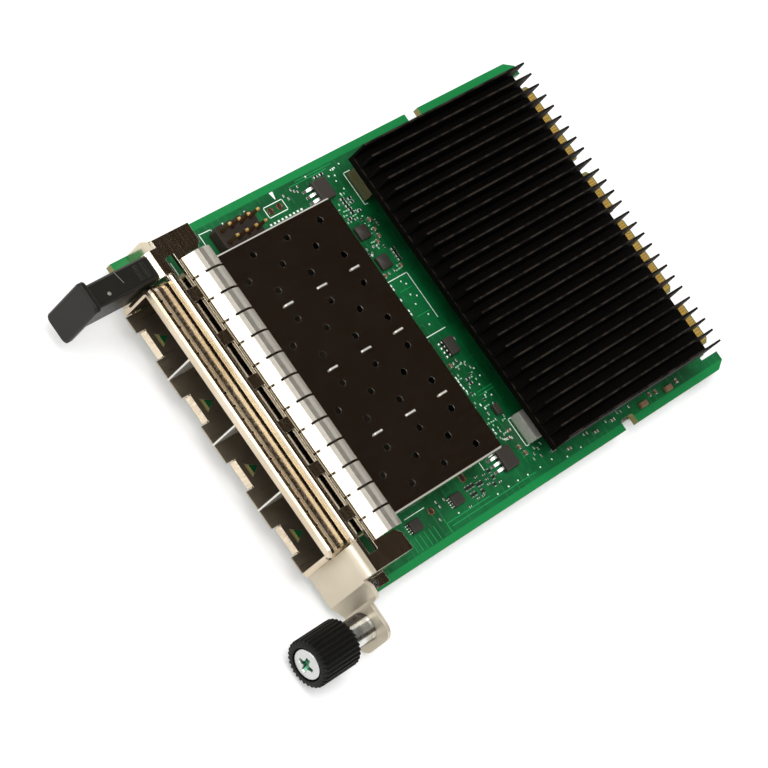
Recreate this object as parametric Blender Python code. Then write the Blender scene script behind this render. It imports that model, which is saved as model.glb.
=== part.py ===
"""Network adapter card with four caged module ports, a heatsink and a captive thumbscrew.

Sizes are in millimetres. X runs across the card, Y from the board's front edge to its card
edge, Z up from the board's top face. One empty carries all pieces and sets the part's origin:
the middle of the board in plan, on the underside of the insulator tray.
"""

import math

import bmesh
import bpy
from mathutils import Matrix

MM = 0.001

# Gaps between neighbours
SEAT = 0.05
FIT = 0.1
RUNNING = 0.15

# Board
BOARD_W = 76.0
BOARD_HALF = BOARD_W / 2
BOARD_L = 115.0
BOARD_T = 1.57
RIGHT_FRONT_CHAMFER = (2.4, 1.8)
SIDE_NOTCH_Y = 83.75
SIDE_NOTCH_LEN = 3.9
SIDE_NOTCH_DEPTH = 2.2
BOARD_EAR_W = 3.4
EAR_SLOT = 0.7
TONGUE_W = BOARD_W - 2 * (BOARD_EAR_W + EAR_SLOT)
TONGUE_START_Y = BOARD_L - 5.0
EAR_CHAMFER = (1.4, 2.4)
TONGUE_CHAMFER = 0.9
KEY_DEPTH = 3.6

# Card-edge contacts: middle of each group as a share of the tongue's width, and its contacts
CONTACT_MIDDLES = (-1 / 3, -0.0811, 0.1527, 0.4012)
CONTACT_COUNTS = (28, 14, 28, 14)
CONTACT_PITCH = TONGUE_W / 113
CONTACT_W = CONTACT_PITCH - 0.2
CONTACT_L = 3.6
CONTACT_T = 0.05
CONTACT_EDGE_GAP = 0.45
CONTACT_SIDE = 0.8

# Port cage
PORTS = 4
CAGE_MARGIN = 9.4
CAGE_W = BOARD_W - 2 * CAGE_MARGIN
CAGE_PLAY = 0.2
PORT_PITCH = (CAGE_W - CAGE_PLAY) / PORTS
CAGE_FRONT_Y = -4.1
CAGE_REAR_Y = 44.0
CAGE_TOP_Z = 9.75
CAGE_SHEET = 0.3
VENT_R = 0.72
VENT_SIDE = 3.95
VENT_ROWS_SIDE = (20.9, 29.95, 39.05)
VENT_ROWS_MIDDLE = (16.35, 25.4, 34.55)
VENT_SEGMENTS = 10
DIVIDER_T = 0.35
DIVIDER_FRONT_Y = -4.5
DIVIDER_FRONT_STEP = 0.45
LUG_ROWS = (21.0, 39.2)
LUG_L = 2.2
LUG_PROUD = 0.55
TAB_Y = 30.15
TAB_L = 2.6
TAB_PROUD = 0.3
LATCH_RECESS_W = 6.2
LATCH_RECESS_BACK = -2.0
LATCH_TONGUE_W = 5.6
LATCH_FRONT_Y = -2.9
LATCH_DROP = 0.6
LATCH_HOLE_BASE_Y = -1.0
LATCH_HOLE_APEX_Y = 1.6
LATCH_HOLE_W = 3.0
CONNECTOR_W = PORT_PITCH - 5.05
CONNECTOR_H = 5.6
CONNECTOR_L = 9.0
CONNECTOR_FRONT_Y = 33.5
CARD_SLOT_W = CONNECTOR_W - 1.4
CARD_SLOT_H = 1.2
CARD_SLOT_DEPTH = 5.0

# Spring strip over the top and sides of the cage mouth
COLLAR_T = 0.12
COLLAR_CORNER_R = 0.9
COLLAR_CORNER_STEPS = 3
COLLAR_PITCH = 2.84
COLLAR_SLOT = 0.4
COLLAR_SLOT_Y = (-3.85, -2.8)
COLLAR_FRONT_Y = -4.45
COLLAR_CREST = 0.65
COLLAR_SIDE_CREST = 0.45
COLLAR_LIP = 0.2
COLLAR_FALL_Y = -2.0
COLLAR_BACK_Y = 0.6
COLLAR_INNER_Y = 1.4

# Bracket
SHEET = 0.8
PLATE_Y = -1.1
PLATE_BOTTOM_Z = -2.7
BRACKET_TOP_Z = 11.3
FOLD_R = 1.3
PLATE_LEFT_X = -(BOARD_HALF - 3.5)
TOP_LEFT_X = -(BOARD_HALF - 2.0)
TOP_RIGHT_X = BOARD_HALF - 2.6
EAR_START_X = TOP_RIGHT_X - 1.4
WINDOW_X = (-(CAGE_W / 2 + 0.6), CAGE_W / 2 + 0.3)
WINDOW_BOTTOM_Z = -1.45
WINDOW_REAR_Y = 0.3
BEAD_W = 1.35
BEAD_H = 0.6
SIDE_TAB_W = 5.0
SIDE_TAB_REAR_Y = 11.2
SIDE_TAB_CHAMFER = 1.2
TOP_REAR_Y = 6.6
SLOT_WINDOWS = 7
SLOT_WINDOW_Y = (2.2, 4.4)
LEFT_EAR_X = -(BOARD_HALF - 0.1)
LEFT_EAR_Y = 4.0
LEFT_EAR_H = 7.5
FOOT_X = BOARD_HALF - 0.5
FOOT_Y = (4.0, 11.0)
JOG_X = (TOP_RIGHT_X + 0.4, TOP_RIGHT_X + 3.2)
EAR_OUT_Y = 0.4
EAR_RIGHT_X = JOG_X[1] + 7.7
EAR_TOP_Z = 5.6
EAR_BOTTOM_Z = -4.6
EAR_R = 2.6

# Spring finger strip on the bracket's top
FINGERS = 13
FINGER_PITCH = (CAGE_W + 4.76) / FINGERS
FINGER_STRIP_X = (-(CAGE_W / 2 + 2.0), CAGE_W / 2 + 1.9)
SLOT_WINDOW_L = 2 * FINGER_PITCH - 2.53
FINGER_T = 0.25
FINGER_FRONT = (5.1, 0.15)
FINGER_CREST = (8.7, 1.1)
FINGER_REAR = (12.7, -0.75)
FINGER_SLOT = 0.45
FINGER_SLOT_START_Y = 7.3
FINGER_SLIT_END_Y = 5.9

# Pull tab
TAB_PLATE_X = (PLATE_LEFT_X - 0.8, PLATE_LEFT_X + 5.5)
TAB_PLATE_Z = (-2.0, 11.6)
TAB_PLATE_FRONT_Y = -17.2
TAB_PLATE_T = 1.2
TAB_ARM_X = (PLATE_LEFT_X + 0.2, PLATE_LEFT_X + 5.0)
TAB_ARM_TOP_Z = 11.2
TAB_WALL = 1.2
TAB_WALL_H = 9.0
TAB_PEG_Z = (4.0, 8.2)
TAB_PEG_R = 0.8
TAB_PEG_HEAD_R = 1.4

# Captive thumbscrew, on an axis along Y
SCREW_X = JOG_X[1] + 3.3
SCREW_Z = 0.5
SCREW_TRAVEL = 4.2
KNOB_R = 4.7
KNOB_L = 9.6
KNOB_REAR_Y = PLATE_Y - SCREW_TRAVEL - 2 * FIT
KNOB_FRONT_Y = KNOB_REAR_Y - KNOB_L
KNOB_RIBS = 30
KNOB_RIB_DEPTH = 0.35
KNOB_EDGE = 0.45
KNOB_BORE_R = 3.65
KNOB_HEAD_DEPTH = 1.2
KNOB_WEB_T = 0.8
HEAD_R = 3.0
HEAD_T = 1.3
SHANK_R = 1.45
SHANK_END_Y = 4.4
SLEEVE_R = 2.85
SLEEVE_NECK_R = 2.45
SLEEVE_FRONT_Y = -7.0
SLEEVE_BORE_R = 2.45
SLEEVE_SHOULDER_T = 1.0
SLEEVE_HOLE_GAP = 0.6
SLEEVE_FLARE_R = 2.8
SLEEVE_FLARE_T = 0.5
RING_GAP = 0.3
RING_R = 2.5
RING_T = 0.5
SPRING_WIRE_R = 0.18
SPRING_TURNS = 8
ROUND_SEGMENTS = 24

# Heatsink
SINK_W = BOARD_W - 8.0
SINK_Y = (57.6, 105.9)
SINK_BASE_Z = (3.8, 6.8)
FIN_TOP_Z = 11.5
FIN_COUNT = 27
FIN_PITCH = (SINK_W - 0.4) / (FIN_COUNT - 1)
FIN_T = 0.5
PEDESTAL_SIZE = 21.0
POST_R = 2.8
POST_X = SINK_W / 2 - 7.5
POST_PLACES = ((-POST_X, 66.5), (POST_X, 66.5), (-POST_X, 100.0), (POST_X, 100.0))
POST_SCREW_R = 1.0
POST_SCREW_L = 3.4
POST_HEAD_R = 1.9
POST_HEAD_T = 0.9

# Controller under the heatsink
CHIP_Y = 82.0
CHIP_SIZE = 25.0
CHIP_T = 1.2
LID_SIZE = 20.0
LID_T = 1.0
PAD_T = 0.5

# Header
HEADER_X = -(CAGE_W / 2 + 3.55)
HEADER_Y = 27.86
HEADER_PITCH = 2.54
HEADER_COLS = 2
HEADER_ROWS = 4
HEADER_H = 2.5
HEADER_NOTCH = 0.6
PIN_SIDE = 0.64
PIN_TOP_Z = 6.0
PIN_BOTTOM_Z = -2.6

# Chips: middle in X and Y, size in X, Y and Z
POWER_PLACES = ((-(BOARD_HALF - 6.0), 52.1), (BOARD_HALF - 7.9, 51.3))
POWER_SIZE = (4.6, 3.9, 1.2)
POWER_LEAD = (0.6, 2.3, 0.2)
POWER_LEAD_PITCH = 1.27
FLAT_CHIPS = ((-21.1, 54.4), (-14.1, 54.5))
FLAT_CHIP_SIZE = (3.0, 3.0, 0.8)
MEMORY_PLACE = (6.3, 56.0)
MEMORY_SIZE = (3.7, 2.6, 1.1)
MEMORY_LEAD = (0.4, 0.7, 0.15)
MEMORY_LEAD_PITCH = 0.95
SIDE_CHIP_X = CAGE_W / 2 + 3.0
SIDE_CHIPS = ((SIDE_CHIP_X, 23.5, 2.4, 2.9, 0.9), (SIDE_CHIP_X, 35.4, 2.4, 2.9, 0.9),
              (21.2, 56.5, 2.3, 1.5, 0.9))
TALL_PARTS = ((-(BOARD_HALF - 8.6), 61.0), (BOARD_HALF - 10.9, 59.6))
TALL_SIZE = (6.4, 2.6, 2.7)
CAPACITOR_X = BOARD_HALF - 2.4
CAPACITORS = ((CAPACITOR_X, 89.0), (CAPACITOR_X, 97.1), (-CAPACITOR_X, 89.0), (-CAPACITOR_X, 97.1))
CAPACITOR_SIZE = (1.25, 2.0, 1.1)

# Insulator under the board
TRAY_T = 0.4
TRAY_DROP = 3.4
TRAY_X = BOARD_HALF - 1.2
TRAY_Y = (12.0, BOARD_L - 8.0)
TRAY_FLARE = 0.8
RIVET_R = 1.1
RIVET_HEAD_R = 2.0
RIVET_HEAD_T = 0.45
RIVET_X = BOARD_HALF - 7.0
RIVET_PLACES = ((-RIVET_X, 73.0), (RIVET_X, 73.0), (-RIVET_X, 93.5), (RIVET_X, 93.5))
BRACKET_SCREW_R = 0.9
BRACKET_SCREW_HEAD_R = 1.5
BRACKET_SCREW_HEAD_T = 0.7

ORIGIN = (0.0, -BOARD_L / 2, TRAY_DROP)


def clear_scene():
    for thing in list(bpy.data.objects):
        bpy.data.objects.remove(thing, do_unlink=True)


def make_material(name, colour, roughness, metallic=0.0):
    material = bpy.data.materials.new(name)
    material.use_nodes = True
    shader = material.node_tree.nodes["Principled BSDF"]
    shader.inputs["Base Color"].default_value = (*colour, 1.0)
    shader.inputs["Roughness"].default_value = roughness
    shader.inputs["Metallic"].default_value = metallic
    material.diffuse_color = (*colour, 1.0)
    return material


def make_materials():
    return {
        "board": make_material("board", (0.01, 0.13, 0.06), 0.35),
        "gold": make_material("gold", (0.6, 0.38, 0.1), 0.3, 1.0),
        "nickel": make_material("nickel", (0.75, 0.7, 0.62), 0.28, 1.0),
        "steel": make_material("steel", (0.6, 0.6, 0.58), 0.35, 1.0),
        "anodised": make_material("anodised", (0.02, 0.02, 0.02), 0.45, 0.3),
        "black_plastic": make_material("black_plastic", (0.03, 0.03, 0.028), 0.5),
        "chip_plastic": make_material("chip_plastic", (0.02, 0.02, 0.02), 0.6),
        "tin": make_material("tin", (0.7, 0.7, 0.7), 0.4, 1.0),
        "ceramic": make_material("ceramic", (0.3, 0.2, 0.12), 0.5),
        "silicone": make_material("silicone", (0.3, 0.35, 0.4), 0.8),
        "film": make_material("film", (0.02, 0.02, 0.02), 0.55),
    }


def card_empty():
    empty = bpy.data.objects.new("card_origin", None)
    empty.location = [v * MM for v in ORIGIN]
    bpy.context.collection.objects.link(empty)
    return empty


def finish(name, bm, material, place=(0.0, 0.0, 0.0), smooth=False):
    """Turn a mesh drawn in millimetres into a named object of the card."""
    bmesh.ops.recalc_face_normals(bm, faces=bm.faces)
    bmesh.ops.transform(bm, matrix=Matrix.Scale(MM, 4), verts=bm.verts)
    mesh = bpy.data.meshes.new(name)
    bm.to_mesh(mesh)
    bm.free()
    mesh.materials.append(material)
    if smooth:
        mesh.shade_smooth()
        mesh.set_sharp_from_angle(angle=math.radians(35))
    thing = bpy.data.objects.new(name, mesh)
    thing.location = [v * MM for v in place]
    thing.parent = CARD
    bpy.context.collection.objects.link(thing)
    return thing


def helper(name, bm, place=(0.0, 0.0, 0.0)):
    """A cutter or a tool body, which is not itself a piece."""
    thing = finish(name, bm, MATERIALS["steel"], place)
    thing.hide_render = True
    thing.display_type = "WIRE"
    return thing


def combine(target, tool, operation="DIFFERENCE"):
    step = target.modifiers.new(tool.name, "BOOLEAN")
    step.operation = operation
    step.object = tool
    step.use_self = True
    return target


def add_box(bm, x, y, z):
    """A box between two X, two Y and two Z values."""
    middle = [(a + b) / 2 for a, b in (x, y, z)]
    size = [b - a for a, b in (x, y, z)]
    made = bmesh.ops.create_cube(bm, size=1.0)["verts"]
    bmesh.ops.scale(bm, vec=size, verts=made)
    bmesh.ops.translate(bm, vec=middle, verts=made)


def span(middle, size):
    return (middle - size / 2, middle + size / 2)


def put(axis, a, b, along):
    """A point from its two values in the drawing plane and one along the plane's axis."""
    if axis == "X":
        return (along, a, b)
    if axis == "Y":
        return (a, along, b)
    return (a, b, along)


def add_rings(bm, rings):
    """A closed body through outlines with the same number of points, capped at both ends."""
    rows = [[bm.verts.new(p) for p in ring] for ring in rings]
    count = len(rows[0])
    for low, high in zip(rows, rows[1:]):
        for i in range(count):
            j = (i + 1) % count
            bm.faces.new((low[i], low[j], high[j], high[i]))
    bm.faces.new(list(reversed(rows[0])))
    bm.faces.new(rows[-1])


def add_prism(bm, outline, axis, ends):
    """An outline in the plane square to an axis, carried between two values along it."""
    add_rings(bm, [[put(axis, a, b, end) for a, b in outline] for end in ends])


def add_turned(bm, profile, closed, segments=ROUND_SEGMENTS):
    """A profile of radius and Y turned about the Y axis.

    A closed profile makes a ring. An open one starts and ends on the axis.
    """
    def ring(radius, y):
        step = 2 * math.pi / segments
        return [bm.verts.new((radius * math.cos(i * step), y, radius * math.sin(i * step)))
                for i in range(segments)]

    rows = [ring(r, y) if r > 0 else [bm.verts.new((0.0, y, 0.0))] for r, y in profile]
    pairs = list(zip(rows, rows[1:]))
    if closed:
        pairs.append((rows[-1], rows[0]))
    for low, high in pairs:
        for i in range(segments):
            j = (i + 1) % segments
            corners = [low[i % len(low)], low[j % len(low)], high[j % len(high)], high[i % len(high)]]
            bm.faces.new(list(dict.fromkeys(corners)))


def arc(centre, radius, start, end, steps):
    """Points on an arc, angles in degrees."""
    points = []
    for i in range(steps + 1):
        angle = math.radians(start + (end - start) * i / steps)
        points.append((centre[0] + radius * math.cos(angle), centre[1] + radius * math.sin(angle)))
    return points


def circle(centre, radius, segments):
    return arc(centre, radius, 0, 360 - 360 / segments, segments - 1)


def sheet_outline(path, thickness):
    """The closed section of a sheet whose one face follows the path, to the path's left."""
    other = []
    for i, (x, y) in enumerate(path):
        before = path[max(i - 1, 0)]
        after = path[min(i + 1, len(path) - 1)]
        normals = []
        for start, end in ((before, (x, y)), ((x, y), after)):
            dx, dy = end[0] - start[0], end[1] - start[1]
            length = math.hypot(dx, dy)
            if length > 1e-9:
                normals.append((-dy / length, dx / length))
        nx = sum(n[0] for n in normals) / len(normals)
        ny = sum(n[1] for n in normals) / len(normals)
        stretch = thickness / (nx * nx + ny * ny)
        other.append((x + nx * stretch, y + ny * stretch))
    return list(path) + other[::-1]


def smooth_path(points, steps):
    """A Catmull-Rom curve through points, with its end points doubled."""
    ends = [points[0], *points, points[-1]]
    path = []
    for p0, p1, p2, p3 in zip(ends, ends[1:], ends[2:], ends[3:]):
        for i in range(steps):
            t = i / steps
            path.append(tuple(
                0.5 * (2 * b + (c - a) * t + (2 * a - 5 * b + 4 * c - d) * t * t
                       + (3 * b - a - 3 * c + d) * t * t * t)
                for a, b, c, d in zip(p0, p1, p2, p3)))
    path.append(points[-1])
    return path


def port_middles():
    first = -PORT_PITCH * (PORTS - 1) / 2
    return [first + PORT_PITCH * i for i in range(PORTS)]


def divider_places():
    first = -PORT_PITCH * (PORTS - 2) / 2
    return [first + PORT_PITCH * i for i in range(PORTS - 1)]


def group_edges():
    """Left and right side of each contact group's part of the tongue."""
    edges = []
    for share, count in zip(CONTACT_MIDDLES, CONTACT_COUNTS):
        half = (count - 1) * CONTACT_PITCH / 2 + CONTACT_W / 2 + CONTACT_SIDE
        edges.append((share * TONGUE_W - half, share * TONGUE_W + half))
    return edges


def foot_places():
    """Middle of each bracket screw, left and right."""
    y = (FOOT_Y[0] + FOOT_Y[1]) / 2
    return ((-(TOP_RIGHT_X + FOOT_X) / 2, y), ((TOP_RIGHT_X + FOOT_X) / 2, y))


def board_outline():
    half = BOARD_HALF
    notch = (SIDE_NOTCH_Y - SIDE_NOTCH_LEN / 2, SIDE_NOTCH_Y + SIDE_NOTCH_LEN / 2)
    tongue = TONGUE_W / 2
    ear_in = tongue + EAR_SLOT
    cut_x, cut_y = EAR_CHAMFER
    right = [(half, notch[0])]
    right += arc((half - SIDE_NOTCH_DEPTH + 0.6, notch[0] + 0.6), 0.6, 270, 180, 3)
    right += arc((half - SIDE_NOTCH_DEPTH + 0.6, notch[1] - 0.6), 0.6, 180, 90, 3)
    right += [(half, notch[1]), (half, BOARD_L - cut_y), (half - cut_x, BOARD_L)]
    right += [(ear_in, BOARD_L), (ear_in, TONGUE_START_Y), (tongue, TONGUE_START_Y)]
    left = [(-x, y) for x, y in reversed(right)]
    edge = []
    for x0, x1 in reversed(group_edges()):
        edge += [(x1, BOARD_L - KEY_DEPTH), (x1, BOARD_L - TONGUE_CHAMFER)]
        edge += [(x1 - TONGUE_CHAMFER, BOARD_L), (x0 + TONGUE_CHAMFER, BOARD_L)]
        edge += [(x0, BOARD_L - TONGUE_CHAMFER), (x0, BOARD_L - KEY_DEPTH)]
    edge.insert(0, (tongue, BOARD_L - KEY_DEPTH))
    edge.append((-tongue, BOARD_L - KEY_DEPTH))
    front = [(-half, 0.0), (half - RIGHT_FRONT_CHAMFER[0], 0.0), (half, RIGHT_FRONT_CHAMFER[1])]
    return front + right + edge + left


def add_hole(bm, place, radius, low, high, segments=12):
    add_prism(bm, circle(place, radius, segments), "Z", (low, high))


def circuit_board():
    bm = bmesh.new()
    add_prism(bm, board_outline(), "Z", (-BOARD_T, 0.0))
    board = finish("circuit_board", bm, MATERIALS["board"])
    cut = bmesh.new()
    low, high = -BOARD_T - 1, 1
    for x, y in pin_places():
        add_hole(cut, (x, y), PIN_SIDE * 0.71 + FIT, low, high, 8)
    for place in POST_PLACES:
        add_hole(cut, place, POST_SCREW_R + RUNNING, low, high)
    for place in RIVET_PLACES:
        add_hole(cut, place, RIVET_R + FIT, low, high)
    for place in foot_places():
        add_hole(cut, place, BRACKET_SCREW_R + FIT, low, high)
    combine(board, helper("board_holes", cut))
    pads = bmesh.new()
    rear = BOARD_L - CONTACT_EDGE_GAP
    for x in contact_rows():
        add_box(pads, span(x, CONTACT_W), (rear - CONTACT_L, rear), (-CONTACT_T, CONTACT_T))
    combine(board, helper("board_contacts", pads), "UNION")


def contact_rows():
    for share, count in zip(CONTACT_MIDDLES, CONTACT_COUNTS):
        for i in range(count):
            yield share * TONGUE_W + (i - (count - 1) / 2) * CONTACT_PITCH


def cage_outline(inset, low):
    """The cage's round-cornered section at a depth below its outer face, as X and Z."""
    radius = COLLAR_CORNER_R
    x = CAGE_W / 2 - radius
    points = []
    for cx, cz, start in ((x, CAGE_TOP_Z - radius, 0), (-x, CAGE_TOP_Z - radius, 90),
                          (-x, low + radius, 180), (x, low + radius, 270)):
        points += arc((cx, cz), radius - inset, start, start + 90, COLLAR_CORNER_STEPS)
    return points


def cage_cover():
    bm = bmesh.new()
    add_prism(bm, cage_outline(0.0, SEAT), "Y", (CAGE_FRONT_Y, CAGE_REAR_Y))
    cover = finish("cage_cover", bm, MATERIALS["nickel"])
    inner = bmesh.new()
    add_prism(inner, cage_outline(CAGE_SHEET, SEAT - 2), "Y", (CAGE_FRONT_Y - 1, CAGE_REAR_Y - CAGE_SHEET))
    combine(cover, helper("cover_hollow", inner))
    cut = bmesh.new()
    low, high = CAGE_TOP_Z - CAGE_SHEET - 0.3, CAGE_TOP_Z + 0.3
    for c in port_middles():
        for y in VENT_ROWS_SIDE:
            add_hole(cut, (c - VENT_SIDE, y), VENT_R, low, high, VENT_SEGMENTS)
            add_hole(cut, (c + VENT_SIDE, y), VENT_R, low, high, VENT_SEGMENTS)
        for y in VENT_ROWS_MIDDLE:
            add_hole(cut, (c, y), VENT_R, low, high, VENT_SEGMENTS)
    for x in divider_places():
        for y, length in lug_rows():
            add_box(cut, span(x, DIVIDER_T + 2 * FIT), span(y, length + 2 * FIT), (low, high))
    combine(cover, helper("cover_holes", cut))


def lug_rows():
    """Middle and length of each tab that a divider puts through the cover."""
    return [(y, LUG_L) for y in LUG_ROWS] + [(TAB_Y, TAB_L)]


def cage_dividers():
    top = CAGE_TOP_Z - CAGE_SHEET - FIT
    low = SEAT + CAGE_SHEET + FIT
    rear = CAGE_REAR_Y - CAGE_SHEET - FIT
    step = top - DIVIDER_FRONT_STEP
    for number, x in enumerate(divider_places(), 1):
        outline = [(DIVIDER_FRONT_Y, low), (rear, low), (rear, top)]
        for y, length in sorted(lug_rows(), reverse=True):
            proud = CAGE_TOP_Z + (TAB_PROUD if y == TAB_Y else LUG_PROUD)
            outline += [(y + length / 2, top), (y + length / 2, proud - 0.2)]
            outline += [(y + length / 2 - 0.2, proud), (y - length / 2 + 0.2, proud)]
            outline += [(y - length / 2, proud - 0.2), (y - length / 2, top)]
        outline += [(COLLAR_INNER_Y + FIT, top), (COLLAR_INNER_Y + FIT, step), (DIVIDER_FRONT_Y, step)]
        bm = bmesh.new()
        add_prism(bm, outline, "X", span(x, DIVIDER_T))
        finish(f"cage_divider_{number}", bm, MATERIALS["nickel"])


def cage_floor():
    half = CAGE_W / 2 - COLLAR_CORNER_R + CAGE_SHEET - FIT
    low, high = SEAT, SEAT + CAGE_SHEET
    recess = LATCH_RECESS_W / 2
    outline = [(half, CAGE_REAR_Y - CAGE_SHEET - FIT), (-half, CAGE_REAR_Y - CAGE_SHEET - FIT),
               (-half, CAGE_FRONT_Y)]
    for c in port_middles():
        outline += [(c - recess, CAGE_FRONT_Y), (c - recess, LATCH_RECESS_BACK)]
        outline += [(c + recess, LATCH_RECESS_BACK), (c + recess, CAGE_FRONT_Y)]
    outline.append((half, CAGE_FRONT_Y))
    bm = bmesh.new()
    add_prism(bm, outline, "Z", (low, high))
    floor = finish("cage_floor", bm, MATERIALS["nickel"])
    tongues = bmesh.new()
    path = [(LATCH_RECESS_BACK + 0.6, low), (LATCH_RECESS_BACK, low),
            (LATCH_FRONT_Y, low - LATCH_DROP)]
    section = sheet_outline(path[::-1], CAGE_SHEET)
    for c in port_middles():
        add_prism(tongues, section, "X", span(c, LATCH_TONGUE_W))
    combine(floor, helper("latch_tongues", tongues), "UNION")
    cut = bmesh.new()
    for c in port_middles():
        triangle = [(c - LATCH_HOLE_W / 2, LATCH_HOLE_BASE_Y), (c + LATCH_HOLE_W / 2, LATCH_HOLE_BASE_Y),
                    (c, LATCH_HOLE_APEX_Y)]
        add_prism(cut, triangle, "Z", (low - 0.5, high + 0.5))
    combine(floor, helper("latch_holes", cut))


def collar_section(wall_x, wall_z):
    """Section of the spring strip where it lies on a wall, as Y and distance from the wall."""
    inner = -CAGE_SHEET - FIT - COLLAR_T
    crest = COLLAR_CREST * wall_z + COLLAR_SIDE_CREST * wall_x
    lip = inner - COLLAR_LIP * wall_z
    path = [(COLLAR_INNER_Y, inner), (COLLAR_FRONT_Y + 1.6, lip), (COLLAR_FRONT_Y + 0.1, lip),
            (COLLAR_FRONT_Y, -0.2), (COLLAR_FRONT_Y + 0.25, crest * 0.6), (COLLAR_FRONT_Y + 0.6, crest),
            (COLLAR_FRONT_Y + 1.2, crest), (COLLAR_FALL_Y, FIT), (COLLAR_BACK_Y, FIT)]
    return sheet_outline(path, COLLAR_T)


def collar_rings():
    """The section at the foot of one side, round both top corners, and at the other foot."""
    half_x = CAGE_W / 2 - COLLAR_CORNER_R
    corner_z = CAGE_TOP_Z - COLLAR_CORNER_R
    foot_z = SEAT + COLLAR_CORNER_R
    places = [(half_x, foot_z, 0)]
    step = 90 / COLLAR_CORNER_STEPS
    for x, start in ((half_x, 0), (-half_x, 90)):
        places += [(x, corner_z, start + step * i) for i in range(COLLAR_CORNER_STEPS + 1)]
    places.append((-half_x, foot_z, 180))
    rings = []
    for x, z, degrees in places:
        out_x, out_z = math.cos(math.radians(degrees)), math.sin(math.radians(degrees))
        section = collar_section(out_x * out_x, out_z * out_z)
        rings.append([(x + out_x * (COLLAR_CORNER_R + d), y, z + out_z * (COLLAR_CORNER_R + d))
                      for y, d in section])
    return rings


def cage_collar():
    """The section carried over the cage's mouth, then slotted into fingers."""
    bm = bmesh.new()
    add_rings(bm, collar_rings())
    collar = finish("cage_collar", bm, MATERIALS["nickel"])
    cut = bmesh.new()
    slots = int((CAGE_W - 2 * COLLAR_CORNER_R) / COLLAR_PITCH)
    for i in range(slots):
        x = (i - (slots - 1) / 2) * COLLAR_PITCH
        add_box(cut, span(x, COLLAR_SLOT), COLLAR_SLOT_Y, (CAGE_TOP_Z, CAGE_TOP_Z + 2))
    middle_z = (CAGE_TOP_Z + SEAT) / 2
    for sign in (-1, 1):
        for z in (middle_z - COLLAR_PITCH / 2, middle_z + COLLAR_PITCH / 2):
            add_box(cut, span(sign * (CAGE_W / 2 + 1), 2.0), COLLAR_SLOT_Y, span(z, COLLAR_SLOT))
    combine(collar, helper("collar_slots", cut))


def port_connectors():
    low = SEAT + CAGE_SHEET + FIT
    slot_z = span(low + 3.2, CARD_SLOT_H)
    for number, c in enumerate(port_middles(), 1):
        bm = bmesh.new()
        cut = bmesh.new()
        add_box(bm, span(c, CONNECTOR_W), (CONNECTOR_FRONT_Y, CONNECTOR_FRONT_Y + CONNECTOR_L),
                (low, low + CONNECTOR_H))
        add_box(cut, span(c, CARD_SLOT_W), (CONNECTOR_FRONT_Y - 1, CONNECTOR_FRONT_Y + CARD_SLOT_DEPTH),
                slot_z)
        connector = finish(f"port_connector_{number}", bm, MATERIALS["black_plastic"])
        combine(connector, helper(f"card_slot_{number}", cut))


def fold_section(rear_y):
    """Front plate, fold and top of the bracket, as Y and Z."""
    centre = (PLATE_Y + FOLD_R, BRACKET_TOP_Z - FOLD_R)
    outer = [(PLATE_Y, PLATE_BOTTOM_Z)] + arc(centre, FOLD_R, 180, 90, 5) + [(rear_y, BRACKET_TOP_Z)]
    inner = [(rear_y, BRACKET_TOP_Z - SHEET)] + arc(centre, FOLD_R - SHEET, 90, 180, 5)
    return outer + inner + [(PLATE_Y + SHEET, PLATE_BOTTOM_Z)]


def ear_outline():
    """Front view of the stepped ear, as X and Z."""
    step_x = JOG_X[1] + 0.6
    points = [(EAR_START_X, PLATE_BOTTOM_Z), (JOG_X[1], PLATE_BOTTOM_Z), (step_x + 0.6, EAR_BOTTOM_Z)]
    points += arc((EAR_RIGHT_X - EAR_R, EAR_BOTTOM_Z + EAR_R), EAR_R, 270, 360, 5)
    points += arc((EAR_RIGHT_X - EAR_R, EAR_TOP_Z - EAR_R), EAR_R, 0, 90, 5)
    points += [(step_x + 0.3, EAR_TOP_Z), (step_x, EAR_TOP_Z + 2.1)]
    points += [(JOG_X[0] + 1.2, 9.5), (JOG_X[0] - 0.2, 9.6)]
    points.append((EAR_START_X, 9.6))
    return points


def bracket_ear():
    path = [(EAR_START_X, PLATE_Y), (JOG_X[0], PLATE_Y), (JOG_X[1], EAR_OUT_Y), (EAR_RIGHT_X + 1, EAR_OUT_Y)]
    bm = bmesh.new()
    add_prism(bm, sheet_outline(path, SHEET), "Z", (EAR_BOTTOM_Z - 1, BRACKET_TOP_Z))
    ear = helper("ear_sheet", bm)
    outline = bmesh.new()
    add_prism(outline, ear_outline(), "Y", (PLATE_Y - 2, EAR_OUT_Y + 3))
    return combine(ear, helper("ear_outline", outline), "INTERSECT")


def bracket_sides():
    """The flanges down each side, the feet on the board and the left front ear."""
    bm = bmesh.new()
    low = SEAT
    corner = (TOP_RIGHT_X - FOLD_R, BRACKET_TOP_Z - FOLD_R)
    right = [(TOP_RIGHT_X - 3.4, BRACKET_TOP_Z)] + arc(corner, FOLD_R, 90, 0, 4) + [(TOP_RIGHT_X, low)]
    section = sheet_outline(right[::-1], SHEET)
    add_prism(bm, section, "Y", (PLATE_Y + SHEET + 0.6, SIDE_TAB_REAR_Y))
    left = [(TOP_LEFT_X + TOP_RIGHT_X - x, z) for x, z in section]
    add_prism(bm, left, "Y", (LEFT_EAR_Y, SIDE_TAB_REAR_Y))
    return helper("side_flanges", bm)


def bracket_feet():
    bm = bmesh.new()
    inner = TOP_RIGHT_X - SHEET / 2
    add_box(bm, (inner, FOOT_X), FOOT_Y, (SEAT, SEAT + SHEET))
    add_box(bm, (-FOOT_X, TOP_LEFT_X + SHEET / 2), FOOT_Y, (SEAT, SEAT + SHEET))
    return helper("bracket_feet", bm)


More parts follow.
